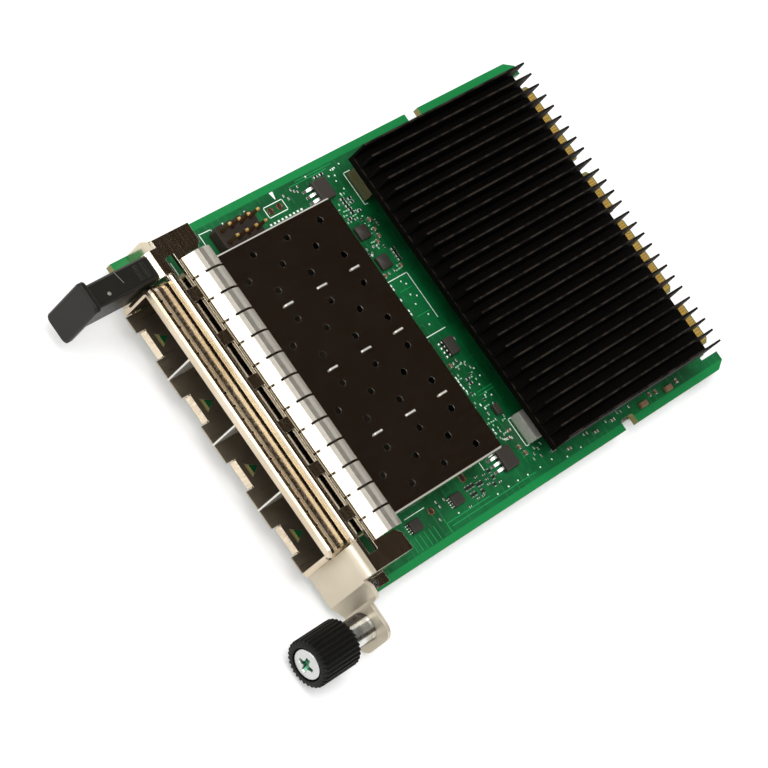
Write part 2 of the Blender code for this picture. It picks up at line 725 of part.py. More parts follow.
def left_ear():
    bm = bmesh.new()
    inner = TOP_LEFT_X + SHEET / 2
    outline = [(LEFT_EAR_X, SEAT + SHEET / 2), (inner, SEAT + SHEET / 2), (inner, LEFT_EAR_H)]
    outline += [(LEFT_EAR_X + 1.1, LEFT_EAR_H), (LEFT_EAR_X, LEFT_EAR_H - 2.0)]
    add_prism(bm, outline, "Y", (LEFT_EAR_Y, LEFT_EAR_Y + SHEET))
    return helper("left_ear", bm)


def window_bead():
    """The raised lip along the rear edge of the window, as a rounded ridge."""
    bm = bmesh.new()
    y = WINDOW_REAR_Y + SEAT + BEAD_W / 2
    rings = []
    base = BRACKET_TOP_Z - 0.2
    for height, inset in ((base, 0.0), (BRACKET_TOP_Z + BEAD_H * 0.5, 0.0),
                          (BRACKET_TOP_Z + BEAD_H * 0.9, 0.2), (BRACKET_TOP_Z + BEAD_H, 0.45)):
        radius = BEAD_W / 2 - inset
        ends = (WINDOW_X[0] + BEAD_W / 2, WINDOW_X[1] - BEAD_W / 2)
        outline = arc((ends[1], y), radius, -90, 90, 6) + arc((ends[0], y), radius, 90, 270, 6)
        rings.append([(a, b, height) for a, b in outline])
    add_rings(bm, rings)
    return helper("window_bead", bm)


def bracket_cuts():
    bm = bmesh.new()
    above = BRACKET_TOP_Z + 1
    add_box(bm, WINDOW_X, (PLATE_Y - 1, WINDOW_REAR_Y), (WINDOW_BOTTOM_Z, above))
    add_box(bm, (TOP_LEFT_X - 1, PLATE_LEFT_X), (PLATE_Y - 1, SHEET + 1.0), (PLATE_BOTTOM_Z - 1, above))
    inner = (TOP_LEFT_X + SIDE_TAB_W, TOP_RIGHT_X - SIDE_TAB_W + 0.3)
    add_box(bm, inner, (TOP_REAR_Y, SIDE_TAB_REAR_Y + 1), (BRACKET_TOP_Z - SHEET - 1, above))
    for i in range(SLOT_WINDOWS):
        x = (i - (SLOT_WINDOWS - 1) / 2) * 2 * FINGER_PITCH
        add_box(bm, span(x, SLOT_WINDOW_L), SLOT_WINDOW_Y, (BRACKET_TOP_Z - SHEET - 1, BRACKET_TOP_Z + 0.25))
    for corner, turn in ((inner[0], -1), (inner[1], 1)):
        cut = SIDE_TAB_CHAMFER
        rear = SIDE_TAB_REAR_Y
        outline = [(corner, rear - cut), (corner + turn * cut, rear), (corner, rear + 1),
                   (corner - turn, rear + 1), (corner - turn, rear - cut)]
        add_prism(bm, outline, "Z", (BRACKET_TOP_Z - SHEET - 1, above))
    return helper("bracket_cuts", bm)


def bracket_holes():
    bm = bmesh.new()
    ends = (PLATE_Y - 1, EAR_OUT_Y + 2)
    add_prism(bm, circle((SCREW_X, SCREW_Z), SLEEVE_NECK_R + FIT, ROUND_SEGMENTS), "Y", ends)
    for z in TAB_PEG_Z:
        add_prism(bm, circle((peg_x(), z), TAB_PEG_R + FIT, 12), "Y", ends)
    for place in foot_places():
        add_hole(bm, place, BRACKET_SCREW_R + FIT, SEAT - 1, SEAT + SHEET + 1)
    return helper("bracket_holes", bm)


def bracket():
    bm = bmesh.new()
    add_prism(bm, fold_section(SIDE_TAB_REAR_Y), "X", (TOP_LEFT_X, TOP_RIGHT_X))
    plate = finish("bracket", bm, MATERIALS["nickel"])
    combine(plate, bracket_sides(), "UNION")
    combine(plate, bracket_cuts())
    combine(plate, bracket_ear(), "UNION")
    combine(plate, bracket_feet(), "UNION")
    combine(plate, left_ear(), "UNION")
    combine(plate, window_bead(), "UNION")
    combine(plate, bracket_holes())


def finger_path():
    top = BRACKET_TOP_Z
    front = (FINGER_FRONT[0], top + FINGER_FRONT[1])
    crest = (FINGER_CREST[0], top + FINGER_CREST[1])
    rear = (FINGER_REAR[0], top + FINGER_REAR[1])
    lift = (TOP_REAR_Y + 0.2, top + 0.72)
    fall = (crest[0] + 2.2, crest[1] - 0.55)
    return smooth_path([front, lift, crest, fall, rear], 2)


def bracket_spring_fingers():
    bm = bmesh.new()
    add_prism(bm, sheet_outline(finger_path(), FINGER_T), "X", FINGER_STRIP_X)
    strip = finish("bracket_spring_fingers", bm, MATERIALS["nickel"])
    cut = bmesh.new()
    z = (BRACKET_TOP_Z - 3, BRACKET_TOP_Z + 3)
    for i in range(1, FINGERS):
        x = FINGER_STRIP_X[0] + (FINGER_STRIP_X[1] - FINGER_STRIP_X[0]) / 2
        x += (i - FINGERS / 2) * FINGER_PITCH
        add_box(cut, span(x, FINGER_SLOT), (FINGER_SLOT_START_Y, FINGER_REAR[0] + 1), z)
        add_box(cut, span(x, FINGER_SLOT), (FINGER_FRONT[0] - 1, FINGER_SLIT_END_Y), z)
    combine(strip, helper("finger_slots", cut))


def peg_x():
    """The pull tab's pegs stand in the middle of the strip of plate left of the window."""
    return (PLATE_LEFT_X + WINDOW_X[0]) / 2


def pull_tab():
    back = PLATE_Y - SEAT
    plate_back = TAB_PLATE_FRONT_Y + TAB_PLATE_T
    low_z, high_z = TAB_PLATE_Z
    plate_w = TAB_PLATE_X[1] - TAB_PLATE_X[0]
    bm = bmesh.new()
    r = 1.0
    outline = []
    for cx, cz, start in ((TAB_PLATE_X[1] - r, high_z - r, 0), (TAB_PLATE_X[0] + r, high_z - r, 90),
                          (TAB_PLATE_X[0] + r, low_z + r, 180), (TAB_PLATE_X[1] - r, low_z + r, 270)):
        outline += arc((cx, cz), r, start, start + 90, 4)
    middle = (TAB_PLATE_X[0] + plate_w / 2, (low_z + high_z) / 2)

    def shrunk(amount):
        share_x, share_z = 2 * amount / plate_w, 2 * amount / (high_z - low_z)
        return [(x + (middle[0] - x) * share_x, z + (middle[1] - z) * share_z) for x, z in outline]

    rings = []
    for y, amount in ((TAB_PLATE_FRONT_Y, 0.3), (TAB_PLATE_FRONT_Y + 0.3, 0.0), (plate_back, 0.0)):
        rings.append([(x, y, z) for x, z in shrunk(amount)])
    add_rings(bm, rings)
    tab = finish("pull_tab", bm, MATERIALS["black_plastic"])
    arm = bmesh.new()
    x0, x1 = TAB_ARM_X
    top = TAB_ARM_TOP_Z
    section = [(x0, top - TAB_WALL), (x1 - TAB_WALL, top - TAB_WALL), (x1 - TAB_WALL, top - TAB_WALL_H)]
    section += [(x1, top - TAB_WALL_H)] + arc((x1 - 0.7, top - 0.7), 0.7, 0, 90, 3)
    section += [(x0 + 0.4, top), (x0, top - 0.4)]
    add_prism(arm, section, "Y", (plate_back - 0.4, back))
    combine(tab, helper("tab_arm", arm), "UNION")
    foot = bmesh.new()
    foot_x = (PLATE_LEFT_X + 0.2, WINDOW_X[0] - 0.3)
    add_box(foot, foot_x, (back - TAB_WALL, back), (TAB_PEG_Z[0] - 1.8, top - 0.6))
    combine(tab, helper("tab_foot", foot), "UNION")
    pegs = bmesh.new()
    for z in TAB_PEG_Z:
        for radius, ends in ((TAB_PEG_R, (back - 0.5, PLATE_Y + SHEET + 0.5)),
                             (TAB_PEG_HEAD_R, (PLATE_Y + SHEET + SEAT, PLATE_Y + SHEET + 0.7))):
            add_prism(pegs, circle((peg_x(), z), radius, 12), "Y", ends)
    bmesh.ops.recalc_face_normals(pegs, faces=pegs.faces)
    heads = helper("tab_pegs", pegs)
    combine(tab, heads, "UNION")
    bars = bmesh.new()
    for y in (-4.6, -3.0):
        add_box(bars, (x0 + 0.9, x1 - 0.9), span(y, 0.6), (top - 0.3, top + 0.35))
    combine(tab, helper("tab_bars", bars), "UNION")


def knob_outline(shrink):
    points = []
    for i in range(KNOB_RIBS):
        for part, depth in ((0.0, 0.0), (0.4, 0.0), (0.55, KNOB_RIB_DEPTH), (0.85, KNOB_RIB_DEPTH)):
            angle = 2 * math.pi * (i + part) / KNOB_RIBS
            radius = KNOB_R - depth - shrink
            points.append((radius * math.cos(angle), radius * math.sin(angle)))
    return points


def knob_head_seat():
    return KNOB_FRONT_Y + KNOB_HEAD_DEPTH


def knob_bore_end():
    return knob_head_seat() + KNOB_WEB_T


def thumbscrew_knob():
    place = (SCREW_X, 0.0, SCREW_Z)
    bm = bmesh.new()
    rings = []
    for y, shrink in ((KNOB_FRONT_Y, KNOB_EDGE), (KNOB_FRONT_Y + KNOB_EDGE, 0.0),
                      (KNOB_REAR_Y - KNOB_EDGE, 0.0), (KNOB_REAR_Y, KNOB_EDGE)):
        rings.append([(x, y, z) for x, z in knob_outline(shrink)])
    add_rings(bm, rings)
    knob = finish("thumbscrew_knob", bm, MATERIALS["black_plastic"], place)
    cut = bmesh.new()
    shank = SHANK_R + RUNNING
    seat = HEAD_R + RUNNING
    profile = [(0.0, KNOB_FRONT_Y - 1), (seat, KNOB_FRONT_Y - 1), (seat, knob_head_seat()),
               (shank, knob_head_seat()), (shank, knob_bore_end()), (KNOB_BORE_R, knob_bore_end()),
               (KNOB_BORE_R, KNOB_REAR_Y + 1), (0.0, KNOB_REAR_Y + 1)]
    add_turned(cut, profile, False)
    combine(knob, helper("knob_bore", cut, place))


def thumbscrew_screw():
    head_back = knob_head_seat() - SEAT
    head_front = head_back - HEAD_T
    groove_r = SHANK_R - 0.3
    ring_y = ring_start()
    profile = [(0.0, head_front), (HEAD_R - 0.5, head_front), (HEAD_R, head_front + 0.4), (HEAD_R, head_back),
               (SHANK_R, head_back), (SHANK_R, ring_y - FIT), (groove_r, ring_y - FIT),
               (groove_r, ring_y + RING_T + FIT), (SHANK_R, ring_y + RING_T + FIT),
               (SHANK_R, SHANK_END_Y - 0.5), (SHANK_R - 0.45, SHANK_END_Y), (0.0, SHANK_END_Y)]
    bm = bmesh.new()
    add_turned(bm, profile, False)
    place = (SCREW_X, 0.0, SCREW_Z)
    screw = finish("thumbscrew_screw", bm, MATERIALS["steel"], place)
    cut = bmesh.new()
    for wide, tall in ((3.2, 0.75), (0.75, 3.2)):
        add_box(cut, span(0, wide), (head_front - 1, head_front + 0.8), span(0, tall))
    combine(screw, helper("screw_cross", cut, place))


def sleeve_rear():
    return EAR_OUT_Y + SHEET + SLEEVE_FLARE_T


def sleeve_shoulder():
    return EAR_OUT_Y - SLEEVE_SHOULDER_T


def ring_start():
    return sleeve_rear() + RING_GAP


def thumbscrew_sleeve():
    rear = sleeve_rear()
    hole = SHANK_R + SLEEVE_HOLE_GAP
    profile = [(SLEEVE_R - 0.25, SLEEVE_FRONT_Y), (SLEEVE_R, SLEEVE_FRONT_Y + 0.25),
               (SLEEVE_R, EAR_OUT_Y - SEAT), (SLEEVE_NECK_R, EAR_OUT_Y - SEAT),
               (SLEEVE_NECK_R, EAR_OUT_Y + SHEET + SEAT), (SLEEVE_FLARE_R, EAR_OUT_Y + SHEET + SEAT),
               (SLEEVE_FLARE_R - 0.2, rear), (hole, rear), (hole, sleeve_shoulder()),
               (SLEEVE_BORE_R, sleeve_shoulder()), (SLEEVE_BORE_R, SLEEVE_FRONT_Y)]
    bm = bmesh.new()
    add_turned(bm, profile, True)
    finish("thumbscrew_sleeve", bm, MATERIALS["steel"], (SCREW_X, 0.0, SCREW_Z))


def retaining_ring():
    """An open ring that snaps into the groove behind the ear."""
    start = ring_start()
    inner = SHANK_R - 0.3 + FIT
    outline = arc((0, 0), RING_R, -60, 240, 20) + arc((0, 0), inner, 240, -60, 20)
    bm = bmesh.new()
    add_prism(bm, outline, "Y", (start, start + RING_T))
    finish("retaining_ring", bm, MATERIALS["steel"], (SCREW_X, 0.0, SCREW_Z))


def thumbscrew_spring():
    """A round wire along a helix from the sleeve's shoulder to the floor of the knob's bore."""
    radius = SLEEVE_BORE_R - SPRING_WIRE_R - SEAT
    start = sleeve_shoulder() - SEAT - SPRING_WIRE_R
    end = knob_bore_end() + SEAT + SPRING_WIRE_R
    around, sides = 9, 4
    count = SPRING_TURNS * around
    pitch = (end - start) / (2 * math.pi * SPRING_TURNS)
    tilt = math.atan2(pitch, radius)
    rings = []
    for i in range(count + 1):
        angle = 2 * math.pi * i / around
        out = (math.cos(angle), 0.0, math.sin(angle))
        side = (math.sin(angle) * math.sin(tilt), math.cos(tilt), -math.cos(angle) * math.sin(tilt))
        centre = (radius * out[0], start + pitch * angle, radius * out[2])
        ring = []
        for k in range(sides):
            turn = 2 * math.pi * k / sides
            ring.append(tuple(centre[n] + SPRING_WIRE_R * (math.cos(turn) * out[n] + math.sin(turn) * side[n])
                              for n in range(3)))
        rings.append(ring)
    bm = bmesh.new()
    add_rings(bm, rings)
    finish("thumbscrew_spring", bm, MATERIALS["steel"], (SCREW_X, 0.0, SCREW_Z))


def heatsink():
    base_low, base_high = SINK_BASE_Z
    half = SINK_W / 2
    outline = [(half, base_low), (-half, base_low)]
    for i in range(FIN_COUNT):
        x = (i - (FIN_COUNT - 1) / 2) * FIN_PITCH
        left = max(x - FIN_T / 2, -half)
        right = min(x + FIN_T / 2, half)
        if left > -half:
            outline.append((left, base_high))
        outline += [(left, FIN_TOP_Z), (right, FIN_TOP_Z)]
        if right < half:
            outline.append((right, base_high))
    bm = bmesh.new()
    add_prism(bm, outline, "Y", SINK_Y)
    sink = finish("heatsink", bm, MATERIALS["anodised"])
    under = bmesh.new()
    pad_top = SEAT + CHIP_T + SEAT + LID_T + SEAT + PAD_T + SEAT
    add_box(under, span(0, PEDESTAL_SIZE), span(CHIP_Y, PEDESTAL_SIZE), (pad_top, base_low + 0.5))
    for place in POST_PLACES:
        add_hole(under, place, POST_R, SEAT, base_low + 0.5, 16)
    combine(sink, helper("sink_under", under), "UNION")
    cut = bmesh.new()
    for place in POST_PLACES:
        add_hole(cut, place, POST_SCREW_R + FIT, -1, POST_SCREW_L - BOARD_T + 0.3)
    combine(sink, helper("sink_taps", cut))


def pan_screw(name, place, head, shank, seat_z):
    """A screw from below: a domed head under seat_z and a shank above it.

    Head and shank are a radius and a length each.
    """
    profile = [(0.0, seat_z - head[1]), (head[0] * 0.6, seat_z - head[1]), (head[0], seat_z - head[1] * 0.5),
               (head[0], seat_z), (shank[0], seat_z), (shank[0], seat_z + shank[1]),
               (0.0, seat_z + shank[1])]
    bm = bmesh.new()
    add_turned(bm, profile, False, 12)
    bmesh.ops.rotate(bm, cent=(0, 0, 0), matrix=Matrix.Rotation(math.radians(90), 3, "X"), verts=bm.verts)
    finish(name, bm, MATERIALS["steel"], (place[0], place[1], 0.0))


def heatsink_screws():
    for number, place in enumerate(POST_PLACES, 1):
        pan_screw(f"heatsink_screw_{number}", place, (POST_HEAD_R, POST_HEAD_T),
                  (POST_SCREW_R, POST_SCREW_L), -BOARD_T - SEAT)


def bracket_screws():
    length = BOARD_T + SHEET + 2 * SEAT + 0.3
    for number, place in enumerate(foot_places(), 1):
        pan_screw(f"bracket_screw_{number}", place, (BRACKET_SCREW_HEAD_R, BRACKET_SCREW_HEAD_T),
                  (BRACKET_SCREW_R, length), -BOARD_T - SEAT)


def controller():
    low = SEAT
    for name, size, height, material in (("controller_package", CHIP_SIZE, CHIP_T, "board"),
                                         ("controller_lid", LID_SIZE, LID_T, "tin"),
                                         ("thermal_pad", LID_SIZE - 1.0, PAD_T, "silicone")):
        bm = bmesh.new()
        add_box(bm, span(0, size), span(CHIP_Y, size), (low, low + height))
        finish(name, bm, MATERIALS[material])
        low += height + SEAT


def pin_places():
    places = []
    for col in range(HEADER_COLS):
        for row in range(HEADER_ROWS):
            x = HEADER_X + (col - (HEADER_COLS - 1) / 2) * HEADER_PITCH
            y = HEADER_Y + (row - (HEADER_ROWS - 1) / 2) * HEADER_PITCH
            places.append((x, y))
    return places


def pin_header():
    half_x = HEADER_COLS * HEADER_PITCH / 2
    cut = HEADER_NOTCH
    right = []
    for row in range(HEADER_ROWS):
        low = HEADER_Y + (row - HEADER_ROWS / 2) * HEADER_PITCH
        right += [(HEADER_X + half_x - cut, low), (HEADER_X + half_x, low + cut)]
        right.append((HEADER_X + half_x, low + HEADER_PITCH - cut))
    right.append((HEADER_X + half_x - cut, HEADER_Y + HEADER_ROWS / 2 * HEADER_PITCH))
    left = [(2 * HEADER_X - x, y) for x, y in reversed(right)]
    bm = bmesh.new()
    add_prism(bm, right + left, "Z", (SEAT, HEADER_H))
    body = finish("pin_header_body", bm, MATERIALS["black_plastic"])
    holes = bmesh.new()
    for number, (x, y) in enumerate(pin_places(), 1):
        side = PIN_SIDE + 2 * SEAT
        add_box(holes, span(x, side), span(y, side), (SEAT - 1, HEADER_H + 1))
        rings = []
        for z, shrink in ((PIN_BOTTOM_Z, 0.3), (PIN_BOTTOM_Z + 0.3, 0.0),
                          (PIN_TOP_Z - 0.4, 0.0), (PIN_TOP_Z, 0.3)):
            s = PIN_SIDE / 2 - shrink / 2
            rings.append([(x - s, y - s, z), (x + s, y - s, z), (x + s, y + s, z), (x - s, y + s, z)])
        pin = bmesh.new()
        add_rings(pin, rings)
        finish(f"header_pin_{number}", pin, MATERIALS["gold"])
    combine(body, helper("pin_holes", holes))


def chip(name, place, size, material, low=SEAT):
    """A moulded body with sloping sides."""
    x, y = place
    sx, sy, sz = size
    slope = min(0.12 * sz, 0.15)
    rings = []
    for z, inset in ((low, slope), (low + sz / 2, 0.0), (low + sz, slope)):
        a, b = sx / 2 - inset, sy / 2 - inset
        rings.append([(x - a, y - b, z), (x + a, y - b, z), (x + a, y + b, z), (x - a, y + b, z)])
    bm = bmesh.new()
    add_rings(bm, rings)
    return finish(name, bm, MATERIALS[material])


def lead_section(edge, direction, lead, lift):
    """Section of a bent lead that starts just inside a body's side, as Y and Z."""
    length, thick = lead[1], lead[2]
    path = [(edge + direction * length, SEAT), (edge + direction * 0.45, SEAT),
            (edge + direction * 0.25, SEAT + lift), (edge - direction * 0.2, SEAT + lift)]
    return sheet_outline(path, -direction * thick)


def power_parts():
    for side, (x, y) in zip(("left", "right"), POWER_PLACES):
        body = chip(f"power_package_{side}", (x, y), POWER_SIZE, "chip_plastic")
        section = lead_section(y - POWER_SIZE[1] / 2, -1, POWER_LEAD, POWER_SIZE[2] * 0.35)
        leads = bmesh.new()
        for i in range(3):
            add_prism(leads, section, "X", span(x + (i - 1) * POWER_LEAD_PITCH, POWER_LEAD[0]))
        combine(body, helper(f"power_leads_{side}", leads), "UNION")


def small_chips():
    for number, place in enumerate(FLAT_CHIPS, 1):
        chip(f"flat_chip_{number}", place, FLAT_CHIP_SIZE, "chip_plastic")
    body = chip("memory_chip", MEMORY_PLACE, MEMORY_SIZE, "chip_plastic", SEAT + 0.1)
    leads = bmesh.new()
    for direction in (-1, 1):
        edge = MEMORY_PLACE[1] + direction * MEMORY_SIZE[1] / 2
        section = lead_section(edge, direction, MEMORY_LEAD, MEMORY_SIZE[2] * 0.5)
        for i in range(4):
            x = MEMORY_PLACE[0] + (i - 1.5) * MEMORY_LEAD_PITCH
            add_prism(leads, section, "X", span(x, MEMORY_LEAD[0]))
    combine(body, helper("memory_leads", leads), "UNION")
    for number, (x, y, sx, sy, sz) in enumerate(SIDE_CHIPS, 1):
        chip(f"side_chip_{number}", (x, y), (sx, sy, sz), "chip_plastic")
    for side, place in zip(("left", "right"), TALL_PARTS):
        chip(f"tall_part_{side}", place, TALL_SIZE, "ceramic")
    for number, place in enumerate(CAPACITORS, 1):
        chip(f"side_capacitor_{number}", place, CAPACITOR_SIZE, "ceramic")


def insulator_tray():
    """A shallow formed tray: a flat floor with a flared rim that meets the board's underside."""
    floor_low = -TRAY_DROP
    rim = -BOARD_T - SEAT
    middle_y = (TRAY_Y[0] + TRAY_Y[1]) / 2
    half_y = (TRAY_Y[1] - TRAY_Y[0]) / 2

    def ring(inset, z):
        a, b = TRAY_X - inset, half_y - inset
        return [(-a, middle_y - b, z), (a, middle_y - b, z), (a, middle_y + b, z), (-a, middle_y + b, z)]

    bm = bmesh.new()
    rows = [ring(TRAY_T + TRAY_FLARE, floor_low + TRAY_T), ring(TRAY_T, rim), ring(0.0, rim),
            ring(TRAY_FLARE, floor_low)]
    add_rings(bm, rows)
    tray = finish("insulator_tray", bm, MATERIALS["film"])
    cut = bmesh.new()
    for place in RIVET_PLACES:
        add_hole(cut, place, RIVET_R + FIT, floor_low - 1, floor_low + TRAY_T + 1)
    combine(tray, helper("tray_holes", cut))


def insulator_rivets():
    """Push rivets with a head on the board and a shank down into the tray's floor."""
    profile = [(0.0, -TRAY_DROP + 0.3), (RIVET_R, -TRAY_DROP + 0.3), (RIVET_R, SEAT), (RIVET_HEAD_R, SEAT),
               (RIVET_HEAD_R * 0.85, SEAT + RIVET_HEAD_T), (0.0, SEAT + RIVET_HEAD_T)]
    for number, place in enumerate(RIVET_PLACES, 1):
        bm = bmesh.new()
        add_turned(bm, profile, False, 12)
        bmesh.ops.rotate(bm, cent=(0, 0, 0), matrix=Matrix.Rotation(math.radians(90), 3, "X"), verts=bm.verts)
        finish(f"insulator_rivet_{number}", bm, MATERIALS["black_plastic"], (place[0], place[1], 0.0))


clear_scene()
MATERIALS = make_materials()
CARD = card_empty()
circuit_board()
cage_cover()
cage_floor()
cage_dividers()
cage_collar()
port_connectors()
bracket()
bracket_spring_fingers()
pull_tab()
thumbscrew_knob()
thumbscrew_screw()
thumbscrew_sleeve()
retaining_ring()
thumbscrew_spring()
heatsink()
heatsink_screws()
controller()
pin_header()
power_parts()
small_chips()
insulator_tray()
insulator_rivets()
bracket_screws()
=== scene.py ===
"""Looks of the network adapter card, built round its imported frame.

Places on the card are in millimetres, as a maker measures them: X across the card, Y from the
board's front edge towards its card edge, Z up from the board's top face. CardFrame turns them
into metres in the row frame.
"""

import logging
import math
from collections.abc import Sequence
from dataclasses import dataclass, field
from enum import Enum

import bmesh
import bpy
import numpy as np
from mathutils import Matrix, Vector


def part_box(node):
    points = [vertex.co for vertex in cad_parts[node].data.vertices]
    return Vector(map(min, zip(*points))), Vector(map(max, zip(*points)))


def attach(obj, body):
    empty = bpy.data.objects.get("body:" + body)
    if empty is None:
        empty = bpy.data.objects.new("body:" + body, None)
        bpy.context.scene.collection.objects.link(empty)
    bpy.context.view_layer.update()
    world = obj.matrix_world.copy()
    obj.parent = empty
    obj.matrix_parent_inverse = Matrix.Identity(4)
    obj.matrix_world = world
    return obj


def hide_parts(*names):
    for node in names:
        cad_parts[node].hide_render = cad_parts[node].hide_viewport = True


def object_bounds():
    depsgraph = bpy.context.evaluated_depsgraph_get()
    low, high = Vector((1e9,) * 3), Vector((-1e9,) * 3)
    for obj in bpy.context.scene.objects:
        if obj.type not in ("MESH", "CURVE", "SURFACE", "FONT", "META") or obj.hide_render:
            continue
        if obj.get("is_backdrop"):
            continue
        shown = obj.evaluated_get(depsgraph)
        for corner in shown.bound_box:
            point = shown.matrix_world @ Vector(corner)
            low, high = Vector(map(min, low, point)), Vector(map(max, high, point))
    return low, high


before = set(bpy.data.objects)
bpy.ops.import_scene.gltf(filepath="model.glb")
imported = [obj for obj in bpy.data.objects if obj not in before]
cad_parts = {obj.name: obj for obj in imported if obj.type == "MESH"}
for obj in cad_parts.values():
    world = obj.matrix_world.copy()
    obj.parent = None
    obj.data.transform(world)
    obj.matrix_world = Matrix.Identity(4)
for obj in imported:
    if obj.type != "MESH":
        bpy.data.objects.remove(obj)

LOG = logging.getLogger("adapter_card")
MM = 0.001
SINK_IN = 0.01
BOARD_THICKNESS = 1.57
PIN_TOP = 6.0
Array = np.ndarray
Colour = tuple[float, float, float]


def srgb(red: float, green: float, blue: float) -> Colour:
    """Turns a colour of 0 to 255 as seen on a screen into the linear one that shaders take.

    Args:
        red: Red share, 0 to 255.
        green: Green share, 0 to 255.
        blue: Blue share, 0 to 255.

    Returns:
        The linear colour, 0 to 1.
    """
    shown = np.array([red, green, blue]) / 255
    linear = np.where(shown > 0.04045, ((shown + 0.055) / 1.055) ** 2.4, shown / 12.92)
    return tuple(float(v) for v in linear)


class Run(Enum):
    """The way that brushing or extrusion lines run, as the stretch of the grain in X, Y, Z."""

    ACROSS = (0.06, 1.0, 1.0)
    ALONG = (1.0, 0.06, 1.0)
    UPRIGHT = (1.0, 1.0, 0.06)
    NONE = (1.0, 1.0, 1.0)


# Node work


class Tree:
    """Places and joins the nodes of one material, world or group."""

    def __init__(self, tree: bpy.types.NodeTree) -> None:
        """Takes over an empty node tree."""
        self.tree = tree
        self.tree.nodes.clear()

    def node(self, kind: str, settings: dict | None = None, **sockets: object) -> bpy.types.Node:
        """Adds a node.

        Args:
            kind: Blender's name of the node type.
            settings: Values of the node's own options.
            sockets: Values or sockets for its inputs, with _ for a space in a name.

        Returns:
            The node.
        """
        made = self.tree.nodes.new(kind)
        for key, value in (settings or {}).items():
            setattr(made, key, value)
        for key, value in sockets.items():
            self.feed(made.inputs[key.replace("_", " ")], value)
        return made

    def feed(self, socket: bpy.types.NodeSocket, value: object) -> None:
        """Links a socket to another, or sets its plain value.

        Args:
            socket: The input to feed.
            value: Another node's output, a colour or a number.
        """
        if isinstance(value, bpy.types.NodeSocket):
            self.tree.links.new(value, socket)
        elif isinstance(value, tuple) and socket.type == "RGBA":
            socket.default_value = (*value, 1.0)
        else:
            socket.default_value = value

    def maths(self, operation: str, *values: object) -> bpy.types.NodeSocket:
        """Adds a Math node.

        Args:
            operation: Name of the operation.
            values: Numbers or sockets for its inputs, in order.

        Returns:
            The result.
        """
        made = self.tree.nodes.new("ShaderNodeMath")
        made.operation = operation
        for socket, value in zip(made.inputs, values):
            self.feed(socket, value)
        return made.outputs[0]

    def ramp(self, value: object, low: float, high: float, start: float = 0.0,
             end: float = 1.0) -> bpy.types.NodeSocket:
        """Maps one range of values onto another, with smooth ends.

        Args:
            value: Number or socket to map.
            low: Value that gives the start.
            high: Value that gives the end.
            start: Result at the low value.
            end: Result at the high value.

        Returns:
            The result.
        """
        made = self.node("ShaderNodeMapRange", {"interpolation_type": "SMOOTHSTEP"},
                         From_Min=low, From_Max=high, To_Min=start, To_Max=end)
        self.feed(made.inputs["Value"], value)
        return made.outputs["Result"]

    def blend(self, share: object, first: object, second: object) -> bpy.types.NodeSocket:
        """Mixes two colours.

        Args:
            share: Share of the second colour.
            first: First colour, plain or a socket.
            second: Second colour, plain or a socket.

        Returns:
            The mixed colour.
        """
        made = self.node("ShaderNodeMix", {"data_type": "RGBA"})
        for index, value in ((0, share), (6, first), (7, second)):
            self.feed(made.inputs[index], value)
        return made.outputs[2]

    def place(self, group: bpy.types.NodeTree, **sockets: object) -> bpy.types.Node:
        """Adds a node group.

        Args:
            group: The group.
            sockets: Values or sockets for its inputs, with _ for a space in a name.

        Returns:
            The node.
        """
        made = self.tree.nodes.new("ShaderNodeGroup")
        made.node_tree = group
        for key, value in sockets.items():
            self.feed(made.inputs[key.replace("_", " ")], value)
        return made

    def position(self) -> Sequence[bpy.types.NodeSocket]:
        """Returns the X, Y and Z of the surface in metres."""
        where = self.node("ShaderNodeTexCoord")
        return self.node("ShaderNodeSeparateXYZ", Vector=where.outputs["Object"]).outputs


